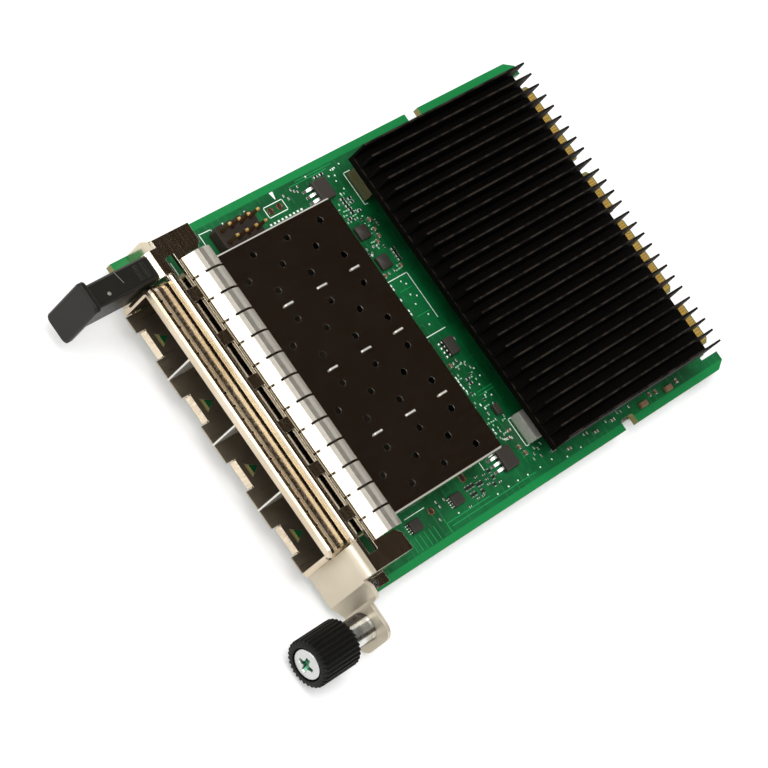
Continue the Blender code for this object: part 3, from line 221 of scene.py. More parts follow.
class EffectGroups:
    """The effects that several finishes share, each a node group built once."""

    def __init__(self) -> None:
        """Builds every group."""
        self.edges = self.edge_light()
        self.grain = self.surface_grain()
        self.mottle = self.mottling()
        self.specks = self.dust_specks()

    @staticmethod
    def empty(name: str, inputs: dict[str, str], outputs: dict[str, str]) -> tuple[Tree, bpy.types.Node,
                                                                                  bpy.types.Node]:
        """Makes a group with its sockets.

        Args:
            name: Name of the group.
            inputs: Socket types by input name.
            outputs: Socket types by output name.

        Returns:
            The tree, its input node and its output node.
        """
        group = bpy.data.node_groups.new(name, "ShaderNodeTree")
        for side, sockets in (("INPUT", inputs), ("OUTPUT", outputs)):
            for label, kind in sockets.items():
                group.interface.new_socket(name=label, in_out=side, socket_type=f"NodeSocket{kind}")
        tree = Tree(group)
        return tree, tree.node("NodeGroupInput"), tree.node("NodeGroupOutput")

    def edge_light(self) -> bpy.types.NodeTree:
        """Softens sharp edges over a radius and marks them, from how far the softened normal turns.

        Returns:
            The group.
        """
        tree, given, out = self.empty("edge_light", {"Radius": "Float", "Reach": "Float"},
                                      {"Mask": "Float", "Normal": "Vector"})
        soft = tree.node("ShaderNodeBevel", {"samples": 4}, Radius=given.outputs["Radius"])
        flat = tree.node("ShaderNodeNewGeometry")
        dot = tree.node("ShaderNodeVectorMath", {"operation": "DOT_PRODUCT"})
        tree.feed(dot.inputs[0], soft.outputs[0])
        tree.feed(dot.inputs[1], flat.outputs["Normal"])
        turned_away = tree.maths("SUBTRACT", 1.0, dot.outputs["Value"])
        mask = tree.maths("DIVIDE", turned_away, given.outputs["Reach"])
        tree.feed(out.inputs["Mask"], tree.maths("MINIMUM", mask, 1.0))
        tree.feed(out.inputs["Normal"], soft.outputs[0])
        return tree.tree

    def surface_grain(self) -> bpy.types.NodeTree:
        """Fine grain or brushing: a noise stretched along the run, as roughness and relief.

        Returns:
            The group.
        """
        tree, given, out = self.empty(
            "surface_grain",
            {"Scale": "Float", "Stretch": "Vector", "Depth": "Float", "Smooth": "Float",
             "Rough": "Float", "Normal": "Vector"},
            {"Roughness": "Float", "Normal": "Vector"})
        where = tree.node("ShaderNodeTexCoord")
        stretched = tree.node("ShaderNodeMapping", Vector=where.outputs["Object"],
                              Scale=given.outputs["Stretch"])
        noise = tree.node("ShaderNodeTexNoise", Vector=stretched.outputs[0],
                          Scale=given.outputs["Scale"], Detail=4.0, Roughness=0.6)
        spread = tree.ramp(noise.outputs["Fac"], 0.25, 0.75)
        reach = tree.maths("SUBTRACT", given.outputs["Rough"], given.outputs["Smooth"])
        tree.feed(out.inputs["Roughness"],
                  tree.maths("MULTIPLY_ADD", spread, reach, given.outputs["Smooth"]))
        relief = tree.node("ShaderNodeBump", Strength=1.0, Distance=given.outputs["Depth"],
                           Height=noise.outputs["Fac"], Normal=given.outputs["Normal"])
        tree.feed(out.inputs["Normal"], relief.outputs[0])
        return tree.tree

    def mottling(self) -> bpy.types.NodeTree:
        """Slow, soft patches, as handling and plating leave them: a broad noise pushed apart.

        Returns:
            The group.
        """
        tree, given, out = self.empty("mottling", {"Scale": "Float", "Contrast": "Float"},
                                      {"Value": "Float"})
        where = tree.node("ShaderNodeTexCoord")
        noise = tree.node("ShaderNodeTexNoise", Vector=where.outputs["Object"],
                          Scale=given.outputs["Scale"], Detail=5.0, Roughness=0.55)
        centred = tree.maths("SUBTRACT", noise.outputs["Fac"], 0.5)
        pushed = tree.maths("MULTIPLY_ADD", centred, given.outputs["Contrast"], 0.5)
        tree.feed(out.inputs["Value"], tree.maths("MAXIMUM", 0.0, tree.maths("MINIMUM", pushed, 1.0)))
        return tree.tree

    def dust_specks(self) -> bpy.types.NodeTree:
        """Sparse fine specks: cells whose middle is near, thinned out by a second noise.

        Returns:
            The group.
        """
        tree, given, out = self.empty("dust_specks", {"Scale": "Float", "Size": "Float"},
                                      {"Mask": "Float"})
        where = tree.node("ShaderNodeTexCoord")
        cells = tree.node("ShaderNodeTexVoronoi", Vector=where.outputs["Object"],
                          Scale=given.outputs["Scale"])
        near = tree.maths("LESS_THAN", cells.outputs["Distance"], given.outputs["Size"])
        thin = tree.node("ShaderNodeTexNoise", Vector=where.outputs["Object"], Scale=180.0)
        tree.feed(out.inputs["Mask"], tree.maths("MULTIPLY", near,
                                                 tree.ramp(thin.outputs["Fac"], 0.5, 0.7)))
        return tree.tree


def shaded(name: str, **sockets: object) -> tuple[bpy.types.Material, Tree, bpy.types.Node]:
    """Makes a material with its one shader.

    Args:
        name: Name of the material.
        sockets: Plain values for the shader's sockets.

    Returns:
        The material, its tree and its shader node.
    """
    material = bpy.data.materials.new(name)
    material.use_nodes = True
    tree = Tree(material.node_tree)
    shader = tree.node("ShaderNodeBsdfPrincipled", **sockets)
    tree.node("ShaderNodeOutputMaterial", Surface=shader.outputs[0])
    return material, tree, shader


def skin(tree: Tree, shader: bpy.types.Node, effects: EffectGroups, radius: float, scale: float,
         run: Run, depth: float, smooth: float, rough: float, reach: float = 0.3,
         ) -> tuple[bpy.types.NodeSocket, bpy.types.NodeSocket]:
    """Rounds a finish's edges, lays its grain and feeds the shader's roughness and normal.

    Args:
        tree: Tree of the material.
        shader: The material's shader node.
        effects: The shared effects.
        radius: Radius of the softened edges, in metres.
        scale: Scale of the grain.
        run: The way that the grain runs.
        depth: Depth of the grain, in metres.
        smooth: Least roughness.
        rough: Greatest roughness.
        reach: How far the normal has turned where an edge is fully marked.

    Returns:
        The mask of the edges, and the roughness.
    """
    edge = tree.place(effects.edges, Radius=radius, Reach=reach)
    grain = tree.place(effects.grain, Scale=scale, Stretch=run.value, Depth=depth, Smooth=smooth,
                       Rough=rough, Normal=edge.outputs["Normal"])
    tree.feed(shader.inputs["Roughness"], grain.outputs["Roughness"])
    tree.feed(shader.inputs["Normal"], grain.outputs["Normal"])
    return edge.outputs["Mask"], grain.outputs["Roughness"]


@dataclass(frozen=True)
class PlatedMetal:
    """Plated or bare metal: brushed grain, slow patches in the plating and softened edges with a painted
    highlight along them.
    """

    name: str
    colour: Colour
    patch: Colour
    smooth: float = 0.12
    rough: float = 0.22
    run: Run = Run.NONE
    grain_scale: float = 2600.0
    grain_depth: float = 0.000002
    edge_radius: float = 0.00012
    patch_scale: float = 90.0
    patch_contrast: float = 1.6
    metallic: float = 1.0

    def build(self, effects: EffectGroups) -> bpy.types.Material:
        """Builds the material.

        Args:
            effects: The shared effects.

        Returns:
            The material.
        """
        material, tree, shader = shaded(self.name, Metallic=self.metallic)
        mask, _ = skin(tree, shader, effects, self.edge_radius, self.grain_scale, self.run,
                       self.grain_depth, self.smooth, self.rough)
        patches = tree.place(effects.mottle, Scale=self.patch_scale, Contrast=self.patch_contrast)
        base = tree.blend(patches.outputs["Value"], self.colour, self.patch)
        # Edges a tenth brighter than the plating: a painted highlight along the edges.
        bright = tree.blend(mask, base, tuple(min(1.0, v * 1.1) for v in self.colour))
        tree.feed(shader.inputs["Base Color"], bright)
        return material


@dataclass(frozen=True)
class Moulding:
    """Moulded plastic, moulding compound, rubber, film or ceramic: grain, soft edges with a painted
    highlight along them, specks.
    """

    name: str
    colour: Colour
    # Lighter colour of the painted highlight along the edges.
    edge: Colour
    smooth: float = 0.42
    rough: float = 0.58
    run: Run = Run.NONE
    grain_scale: float = 3200.0
    grain_depth: float = 0.000012
    edge_radius: float = 0.00018
    sheen: float = 0.5
    specks: float = 0.5

    def build(self, effects: EffectGroups) -> bpy.types.Material:
        """Builds the material.

        Args:
            effects: The shared effects.

        Returns:
            The material.
        """
        material, tree, shader = shaded(self.name, Metallic=0.0, Specular_IOR_Level=self.sheen)
        mask, _ = skin(tree, shader, effects, self.edge_radius, self.grain_scale, self.run,
                       self.grain_depth, self.smooth, self.rough, 0.35)
        patches = tree.place(effects.mottle, Scale=160.0, Contrast=1.4)
        dust = tree.place(effects.specks, Scale=900.0, Size=0.12)
        lighter = tuple(v * 1.35 + 0.002 for v in self.colour)
        base = tree.blend(patches.outputs["Value"], self.colour, lighter)
        # Edges blended towards the lighter edge colour: a painted highlight along the edges.
        with_painted_light = tree.blend(mask, base, self.edge)
        dusty = tree.blend(tree.maths("MULTIPLY", dust.outputs["Mask"], self.specks), with_painted_light,
                           tuple(v * 2.2 + 0.02 for v in self.colour))
        tree.feed(shader.inputs["Base Color"], dusty)
        return material


@dataclass(frozen=True)
class SolderMask:
    """The board: green mask over copper, brighter bare margins, and a tan cut edge in layers."""

    name: str = "solder_mask"
    inner: Colour = srgb(10, 104, 54)
    pour: Colour = srgb(7, 80, 40)
    margin: Colour = srgb(12, 132, 66)
    core: Colour = srgb(158, 150, 88)
    core_dark: Colour = srgb(116, 108, 58)
    margin_x: float = 0.0363
    bare_y: float = 0.0531
    bare_x: float = 0.034
    trace_pitch: float = 0.0006

    def build(self, effects: EffectGroups) -> bpy.types.Material:
        """Builds the material.

        Args:
            effects: The shared effects.

        Returns:
            The material.
        """
        material, tree, shader = shaded(self.name, Metallic=0.0, Specular_IOR_Level=0.45,
                                        Coat_Roughness=0.12)
        across, along, up = tree.position()
        where = tree.node("ShaderNodeTexCoord").outputs["Object"]
        pours = tree.place(effects.mottle, Scale=120.0, Contrast=5.0)
        lines = tree.node("ShaderNodeTexBrick", {"offset": 0.37, "squash": 1.6, "squash_frequency": 3},
                          Vector=where, Scale=1.0 / self.trace_pitch / 3, Mortar_Size=0.055,
                          Mortar_Smooth=0.3, Brick_Width=5.5, Row_Height=1.0)
        bundles = tree.node("ShaderNodeTexNoise", Vector=where, Scale=260.0, Detail=2.0)
        gate = tree.ramp(bundles.outputs["Fac"], 0.48, 0.56)
        traces = tree.maths("MULTIPLY", lines.outputs["Fac"], gate)
        mask = tree.blend(pours.outputs["Value"], self.inner, self.pour)
        mask = tree.blend(tree.maths("MULTIPLY", traces, 0.5), mask, self.margin)
        bare = tree.ramp(tree.maths("ABSOLUTE", across), self.margin_x, self.margin_x + 0.0003)
        mask = tree.blend(bare, mask, self.margin)
        facing = tree.node("ShaderNodeSeparateXYZ",
                           Vector=tree.node("ShaderNodeNewGeometry").outputs["True Normal"])
        layers = tree.node("ShaderNodeTexNoise", {"noise_dimensions": "1D"}, W=up, Scale=9000.0)
        core = tree.blend(layers.outputs["Fac"], self.core, self.core_dark)
        flat = tree.maths("GREATER_THAN", tree.maths("ABSOLUTE", facing.outputs["Z"]), 0.5)
        masked = tree.maths("MAXIMUM", tree.maths("LESS_THAN", along, self.bare_y),
                            tree.maths("GREATER_THAN", tree.maths("ABSOLUTE", across), self.bare_x))
        flat = tree.maths("MULTIPLY", flat, masked)
        tree.feed(shader.inputs["Base Color"], tree.blend(flat, core, mask))
        edge = tree.place(effects.edges, Radius=0.00008, Reach=0.3)
        grain = tree.place(effects.grain, Scale=1500.0, Stretch=Run.NONE.value, Depth=0.000003,
                           Smooth=0.28, Rough=0.42, Normal=edge.outputs["Normal"])
        relief = tree.node("ShaderNodeBump", Strength=0.6, Distance=0.00002, Height=traces,
                           Normal=grain.outputs["Normal"])
        tree.feed(shader.inputs["Roughness"], grain.outputs["Roughness"])
        tree.feed(shader.inputs["Normal"], relief.outputs[0])
        return material


@dataclass(frozen=True)
class BracketPlating:
    """Nickel plating: a bright mirror on the folded sheet, dull and creamy round the screw's ear."""

    ear_x: float
    ear_y: float
    name: str = "bracket_plating"
    nickel: Colour = srgb(222, 212, 192)
    warm: Colour = srgb(205, 192, 168)

    def build(self, effects: EffectGroups) -> bpy.types.Material:
        """Builds the material: a place's X and Y say whether it lies on the ear's side.

        Args:
            effects: The shared effects.

        Returns:
            The material.
        """
        material, tree, shader = shaded(self.name)
        across, along, _ = tree.position()
        ear = tree.maths("MULTIPLY", tree.maths("GREATER_THAN", across, self.ear_x),
                         tree.maths("LESS_THAN", along, self.ear_y))
        _, rough = skin(tree, shader, effects, 0.00016, 2600.0, Run.ACROSS, 0.000001, 0.0, 0.1)
        patches = tree.place(effects.mottle, Scale=90.0, Contrast=1.6)
        tree.feed(shader.inputs["Base Color"],
                  tree.blend(patches.outputs["Value"], self.nickel, self.warm))
        tree.feed(shader.inputs["Metallic"], tree.ramp(ear, 0.0, 1.0, 1.0, 0.5))
        tree.feed(shader.inputs["Roughness"],
                  tree.maths("ADD", rough, tree.ramp(ear, 0.0, 1.0, 0.1, 0.32)))
        return material


@dataclass(frozen=True)
class PinPlating:
    """Header pins: a dull brown shank that turns to bright gold at the tip; the bright tip is a painted
    highlight.
    """

    tip: float
    name: str = "pin_plating"
    shank: Colour = srgb(104, 72, 44)
    bright: Colour = srgb(236, 200, 122)
    reach: float = 0.0007

    def build(self, effects: EffectGroups) -> bpy.types.Material:
        """Builds the material: the height below the tip says how bright a place is.

        Args:
            effects: The shared effects.

        Returns:
            The material.
        """
        material, tree, shader = shaded(self.name, Metallic=0.7)
        height = tree.position()[2]
        # Painted highlight: the colour brightens over the last fraction of a millimetre below the tip.
        tip_highlight = tree.ramp(height, self.tip - self.reach, self.tip - self.reach / 3)
        skin(tree, shader, effects, 0.00004, 2400.0, Run.UPRIGHT, 0.000002, 0.24, 0.4)
        tree.feed(shader.inputs["Base Color"], tree.blend(tip_highlight, self.shank, self.bright))
        return material


@dataclass(frozen=True)
class SleeveReflectionBands:
    """Bright turned steel with reflections painted in bands round its axis, each a step darker or
    lighter than the next.
    """

    axis: tuple[float, float]
    name: str = "sleeve_painted_reflections"
    dark: Colour = srgb(52, 44, 38)
    grey: Colour = srgb(142, 144, 140)
    bright: Colour = srgb(236, 236, 232)
    # Stops of the painted reflection bands: dark, bright and grey tones in place of what the polished
    # steel would mirror.
    stops: Sequence[tuple[float, str]] = (
        (0.0, "dark"), (0.05, "dark"), (0.07, "bright"), (0.135, "bright"), (0.15, "dark"),
        (0.18, "dark"), (0.195, "grey"), (0.272, "grey"), (0.284, "bright"), (0.314, "bright"),
        (0.33, "dark"), (0.52, "dark"), (0.6, "grey"), (0.8, "bright"))

    def build(self, effects: EffectGroups) -> bpy.types.Material:
        """Builds the material: a place's share of the turn is its angle over a whole turn, which picks
        its painted reflection band.

        Args:
            effects: The shared effects.

        Returns:
            The material.
        """
        material, tree, shader = shaded(self.name, Metallic=0.6)
        across, _, up = tree.position()
        angle = tree.maths("ARCTAN2", tree.maths("SUBTRACT", up, self.axis[1]),
                           tree.maths("SUBTRACT", across, self.axis[0]))
        share = tree.maths("FRACT", tree.maths("MULTIPLY_ADD", angle, 0.5 / math.pi, 1.0))
        # The ramp paints the reflections as bands by angle round the axis.
        ramp = tree.node("ShaderNodeValToRGB", Fac=share)
        places = ramp.color_ramp.elements
        while len(places) < len(self.stops):
            places.new(0.5)
        for element, (place, tone) in zip(places, self.stops):
            element.position, element.color = place, (*getattr(self, tone), 1.0)
        skin(tree, shader, effects, 0.0001, 1600.0, Run.NONE, 0.000005, 0.16, 0.36)
        patches = tree.place(effects.mottle, Scale=900.0, Contrast=2.2)
        # Painted reflection bands, mixed with grey patches.
        with_painted_light = tree.blend(tree.maths("MULTIPLY", patches.outputs["Value"], 0.35), ramp.outputs[0],
                          self.grey)
        tree.feed(shader.inputs["Base Color"], with_painted_light)
        return material


@dataclass(frozen=True)
class FinAnodising:
    """Black anodising with a thin, broken brown line painted along the fin tops and the base's front
    edge: a painted highlight where those edges catch the light.
    """

    top: float
    base_top: float
    front: float
    name: str = "fin_anodising"
    black: Colour = srgb(7, 6, 5)
    warm: Colour = srgb(13, 10, 8)
    highlight_and_dust: Colour = srgb(46, 40, 34)

    def build(self, effects: EffectGroups) -> bpy.types.Material:
        """Builds the material: height and place along the card say where the painted highlight line
        runs.

        Args:
            effects: The shared effects.

        Returns:
            The material.
        """
        material, tree, shader = shaded(self.name, Metallic=0.0, Specular_IOR_Level=0.05)
        _, along, up = tree.position()
        # Painted highlight: a thin line on the fin tops and along the base's front edge, broken by
        # noise.
        crest = tree.maths("GREATER_THAN", up, self.top - 0.00005)
        level = tree.maths("COMPARE", up, self.base_top, 0.00006)
        base_edge_highlight = tree.maths("MULTIPLY", level, tree.maths("LESS_THAN", along, self.front + 0.00025))
        where = tree.node("ShaderNodeTexCoord").outputs["Object"]
        breaks = tree.node("ShaderNodeTexNoise", Vector=where, Scale=420.0, Detail=3.0)
        broken = tree.ramp(breaks.outputs["Fac"], 0.38, 0.62, 0.15, 1.0)
        line = tree.maths("MULTIPLY", tree.maths("MAXIMUM", crest, base_edge_highlight), broken)
        patches = tree.place(effects.mottle, Scale=140.0, Contrast=2.5)
        dust = tree.place(effects.specks, Scale=1100.0, Size=0.1)
        base = tree.blend(patches.outputs["Value"], self.black, self.warm)
        # Real dust specks take the same light brown as the painted highlight line.
        dusty = tree.blend(tree.maths("MULTIPLY", dust.outputs["Mask"], 0.25), base, self.highlight_and_dust)
        tree.feed(shader.inputs["Base Color"], tree.blend(line, dusty, self.highlight_and_dust))
        skin(tree, shader, effects, 0.00005, 3000.0, Run.ALONG, 0.000003, 0.42, 0.6, 0.35)
        return material


# Mesh work


@dataclass(frozen=True)
class CardFrame:
    """Turns millimetre places on the card into metres in the row frame."""

    origin: Array

    @classmethod
    def of_board(cls) -> "CardFrame":
        """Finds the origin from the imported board: its middle, its front edge and its top face."""
        low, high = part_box("circuit_board")
        return cls(np.array([(low.x + high.x) / 2, low.y, low.z + BOARD_THICKNESS * MM]))

    def metres(self, points: Array) -> Array:
        """Returns the places in metres in the row frame."""
        return self.origin + np.asarray(points, float) * MM


def grid_faces(rows: int, cols: int, wrap_rows: bool = False, wrap_cols: bool = False) -> Array:
    """Joins each point of a grid to its neighbours in the next row and column.

    Args:
        rows: Number of rows of points.
        cols: Number of points in a row.
        wrap_rows: Whether the last row joins the first.
        wrap_cols: Whether the last point of a row joins its first.

    Returns:
        Quads as an array of point indices.
    """
    row = np.arange(rows if wrap_rows else rows - 1)
    col = np.arange(cols if wrap_cols else cols - 1)
    i, j = np.meshgrid(row, col, indexing="ij")
    below, right = (i + 1) % rows, (j + 1) % cols
    quads = np.stack([i * cols + j, i * cols + right, below * cols + right, below * cols + j], -1)
    return quads.reshape(-1, 4)


def blocks(places: Array, sizes: Array, chamfer: float = 0.0) -> tuple[Array, Array]:
    """Boxes that stand on their places, with the top edge chamfered.

    A ring's corner is the place plus the corner's sign times half the size less the ring's inset;
    the rings lie at the bottom, below the chamfer and at the top.

    Args:
        places: Middle of each box's bottom, in millimetres.
        sizes: Size in X, Y and Z of each box, or one for all.
        chamfer: Width of the chamfer.

    Returns:
        Points and quads.
    """
    places = np.atleast_2d(np.asarray(places, float))
    sizes = np.broadcast_to(np.asarray(sizes, float), places.shape)
    signs = np.array([[-1, -1], [1, -1], [1, 1], [-1, 1]], float)
    inset = np.array([0.0, 0.0, chamfer])[None, :, None, None]
    flat = places[:, None, None, :2] + signs * (sizes[:, None, None, :2] / 2 - inset)
    rise = sizes[:, 2:3] * np.array([0.0, 1.0, 1.0]) - np.array([0.0, chamfer, 0.0])
    height = np.broadcast_to((places[:, 2:3] + rise)[:, :, None, None], (*flat.shape[:3], 1))
    points = np.concatenate([flat, height], -1)
    one = np.concatenate([grid_faces(3, 4, wrap_cols=True), [[3, 2, 1, 0], [8, 9, 10, 11]]])
    faces = one[None] + 12 * np.arange(len(places))[:, None, None]
    return points.reshape(-1, 3), faces.reshape(-1, 4)


def strips(starts: Array, ends: Array, width: float, low: float, high: float) -> tuple[Array, Array]:
    """Straight flat strips, such as printed lines.

    A corner is the start or end, plus or minus half the width along the line's left-hand normal,
    and half the width beyond the end so that lines meet at corners.

    Args:
        starts: Start of each strip in X and Y.
        ends: End of each strip in X and Y.
        width: Width of the strips.
        low: Height of the underside.
        high: Height of the top.

    Returns:
        Points and quads.
    """
    starts, ends = np.atleast_2d(starts).astype(float), np.atleast_2d(ends).astype(float)
    along = (ends - starts) / np.linalg.norm(ends - starts, axis=1, keepdims=True) * width / 2
    side = np.stack([-along[:, 1], along[:, 0]], -1)
    ring = np.stack([starts - along - side, ends + along - side, ends + along + side,
                     starts - along + side], 1)
    levels = [np.concatenate([ring, np.full((*ring.shape[:2], 1), z)], -1) for z in (low, high)]
    points = np.stack(levels, 1)
    one = np.concatenate([grid_faces(2, 4, wrap_cols=True), [[3, 2, 1, 0], [4, 5, 6, 7]]])
    faces = one[None] + 8 * np.arange(len(starts))[:, None, None]
    return points.reshape(-1, 3), faces.reshape(-1, 4)


def rings_up(places: Array, profile: Array, sides: int) -> tuple[Array, Array]:
    """Small round parts about upright axes: each profile point turned through equal steps.

    Args:
        places: Foot of each axis.
        profile: Radius and height of each ring, in millimetres.
        sides: Number of steps round.

    Returns:
        Points and quads.
    """
    places = np.atleast_2d(np.asarray(places, float))
    turn = np.arange(sides) * 2 * np.pi / sides
    ring = np.stack([np.cos(turn), np.sin(turn)], -1)
    flat = places[:, None, None, :2] + profile[None, :, 0, None, None] * ring[None, None]
    height = places[:, None, 2:3] + profile[None, :, 1:2]
    height = np.broadcast_to(height[:, :, None, :], (*flat.shape[:3], 1))
    points = np.concatenate([flat, height], -1)
    one = grid_faces(len(profile), sides, wrap_cols=True)
    faces = one[None] + len(profile) * sides * np.arange(len(places))[:, None, None]
    return points.reshape(-1, 3), faces.reshape(-1, 4)


def turned(profile: Array, axis: tuple[float, float], sides: int) -> tuple[Array, Array]:
    """A profile turned about an axis along Y: each point's radius goes round in equal steps.

    Args:
        profile: Radius and Y of each profile point, in millimetres.
        axis: X and Z of the axis.
        sides: Number of steps round.

    Returns:
        Points and quads.
    """
    turn = np.arange(sides) * 2 * np.pi / sides
    radius, along = profile[:, :1], profile[:, 1:]
    points = np.stack([axis[0] + radius * np.cos(turn), along + 0 * turn,
                       axis[1] + radius * np.sin(turn)], -1)
    return points.reshape(-1, 3), grid_faces(len(profile), sides, wrap_cols=True)


def ribbons(path: Array, thickness: float, width: float, places: Array,
            outward: Array) -> tuple[Array, Array, Array]:
    """Bent flat leads: a strip of even thickness along a path, repeated at each place.

    The path's points are pushed half the thickness to each side along their normals, which gives a
    closed section; the section is then drawn out by the width.

    Args:
        path: Distance outward and height of each point along a lead.
        thickness: Thickness of the lead.
        width: Width of the lead.
        places: Where each lead leaves its package.
        outward: Unit direction in X and Y of each lead.

    Returns:
        Points, quads of the sides, and the two end faces of each lead.
    """
    step = np.gradient(path, axis=0)
    normal = np.stack([-step[:, 1], step[:, 0]], -1)
    normal /= np.linalg.norm(normal, axis=1, keepdims=True)
    section = np.concatenate([path + normal * thickness / 2, (path - normal * thickness / 2)[::-1]])
    across = np.stack([-outward[:, 1], outward[:, 0]], -1)
    offset = np.array([-width / 2, width / 2])
    flat = (places[:, None, None, :2] + section[None, None, :, :1] * outward[:, None, None, :]
            + offset[None, :, None, None] * across[:, None, None, :])
    height = places[:, None, None, 2:3] + section[None, None, :, 1:]
    points = np.concatenate([flat, np.broadcast_to(height, (*flat.shape[:3], 1))], -1)
    count = len(section)
    shift = 2 * count * np.arange(len(places))[:, None, None]
    sides = grid_faces(2, count, wrap_cols=True)[None] + shift
    half = count // 2
    run = np.arange(half - 1)
    caps = np.stack([run, run + 1, count - 2 - run, count - 1 - run], -1)
    caps = np.concatenate([caps, caps + count])[None] + shift
    return points.reshape(-1, 3), sides.reshape(-1, 4), caps.reshape(-1, 4)


@dataclass
class Piece:
    """Gathers the surfaces of one piece and makes its object."""

    name: str
    finishes: Sequence[bpy.types.Material]
    slot: str
    body: str = "card"
    replaces: Sequence[str] = ()
    crease: float = 35.0
    points: list[Array] = field(default_factory=list)
    faces: list[tuple[Array, int]] = field(default_factory=list)

    def add(self, surface: tuple[Array, ...], finish: int = 0) -> "Piece":
        """Adds a surface to the piece.

        Args:
            surface: Its points, then one or more arrays of faces.
            finish: Number of its finish among the piece's finishes.

        Returns:
            The piece.
        """
        start = sum(len(p) for p in self.points)
        self.points.append(surface[0])
        self.faces += [(faces + start, finish) for faces in surface[1:]]
        return self

    def make(self, card: CardFrame) -> bpy.types.Object:
        """Makes the object, closes its seams, turns its faces outwards and puts it on its body.

        Args:
            card: The frame that the millimetre places are in.

        Returns:
            The finished object.
        """
        mesh = bpy.data.meshes.new(self.name)
        quads = [face for faces, _ in self.faces for face in faces.tolist()]
        mesh.from_pydata(card.metres(np.concatenate(self.points)).tolist(), [], quads)
        owner = np.concatenate([np.full(len(faces), finish) for faces, finish in self.faces])
        mesh.polygons.foreach_set("material_index", owner.astype(np.int32))
        work = bmesh.new()
        work.from_mesh(mesh)
        bmesh.ops.remove_doubles(work, verts=work.verts, dist=2e-7)
        bmesh.ops.dissolve_degenerate(work, edges=work.edges, dist=1e-8)
        bmesh.ops.recalc_face_normals(work, faces=work.faces)
        work.to_mesh(mesh)
        work.free()
        for finish in self.finishes:
            mesh.materials.append(finish)
        mesh.shade_smooth()
        mesh.set_sharp_from_angle(angle=math.radians(self.crease))
        made = bpy.data.objects.new(self.name, mesh)
        bpy.context.scene.collection.objects.link(made)
        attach(made, self.body)
        if self.replaces:
            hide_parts(*self.replaces)
        LOG.info("%s: %d faces on %s", self.name, len(mesh.polygons), self.body)
        return made


# Finishes


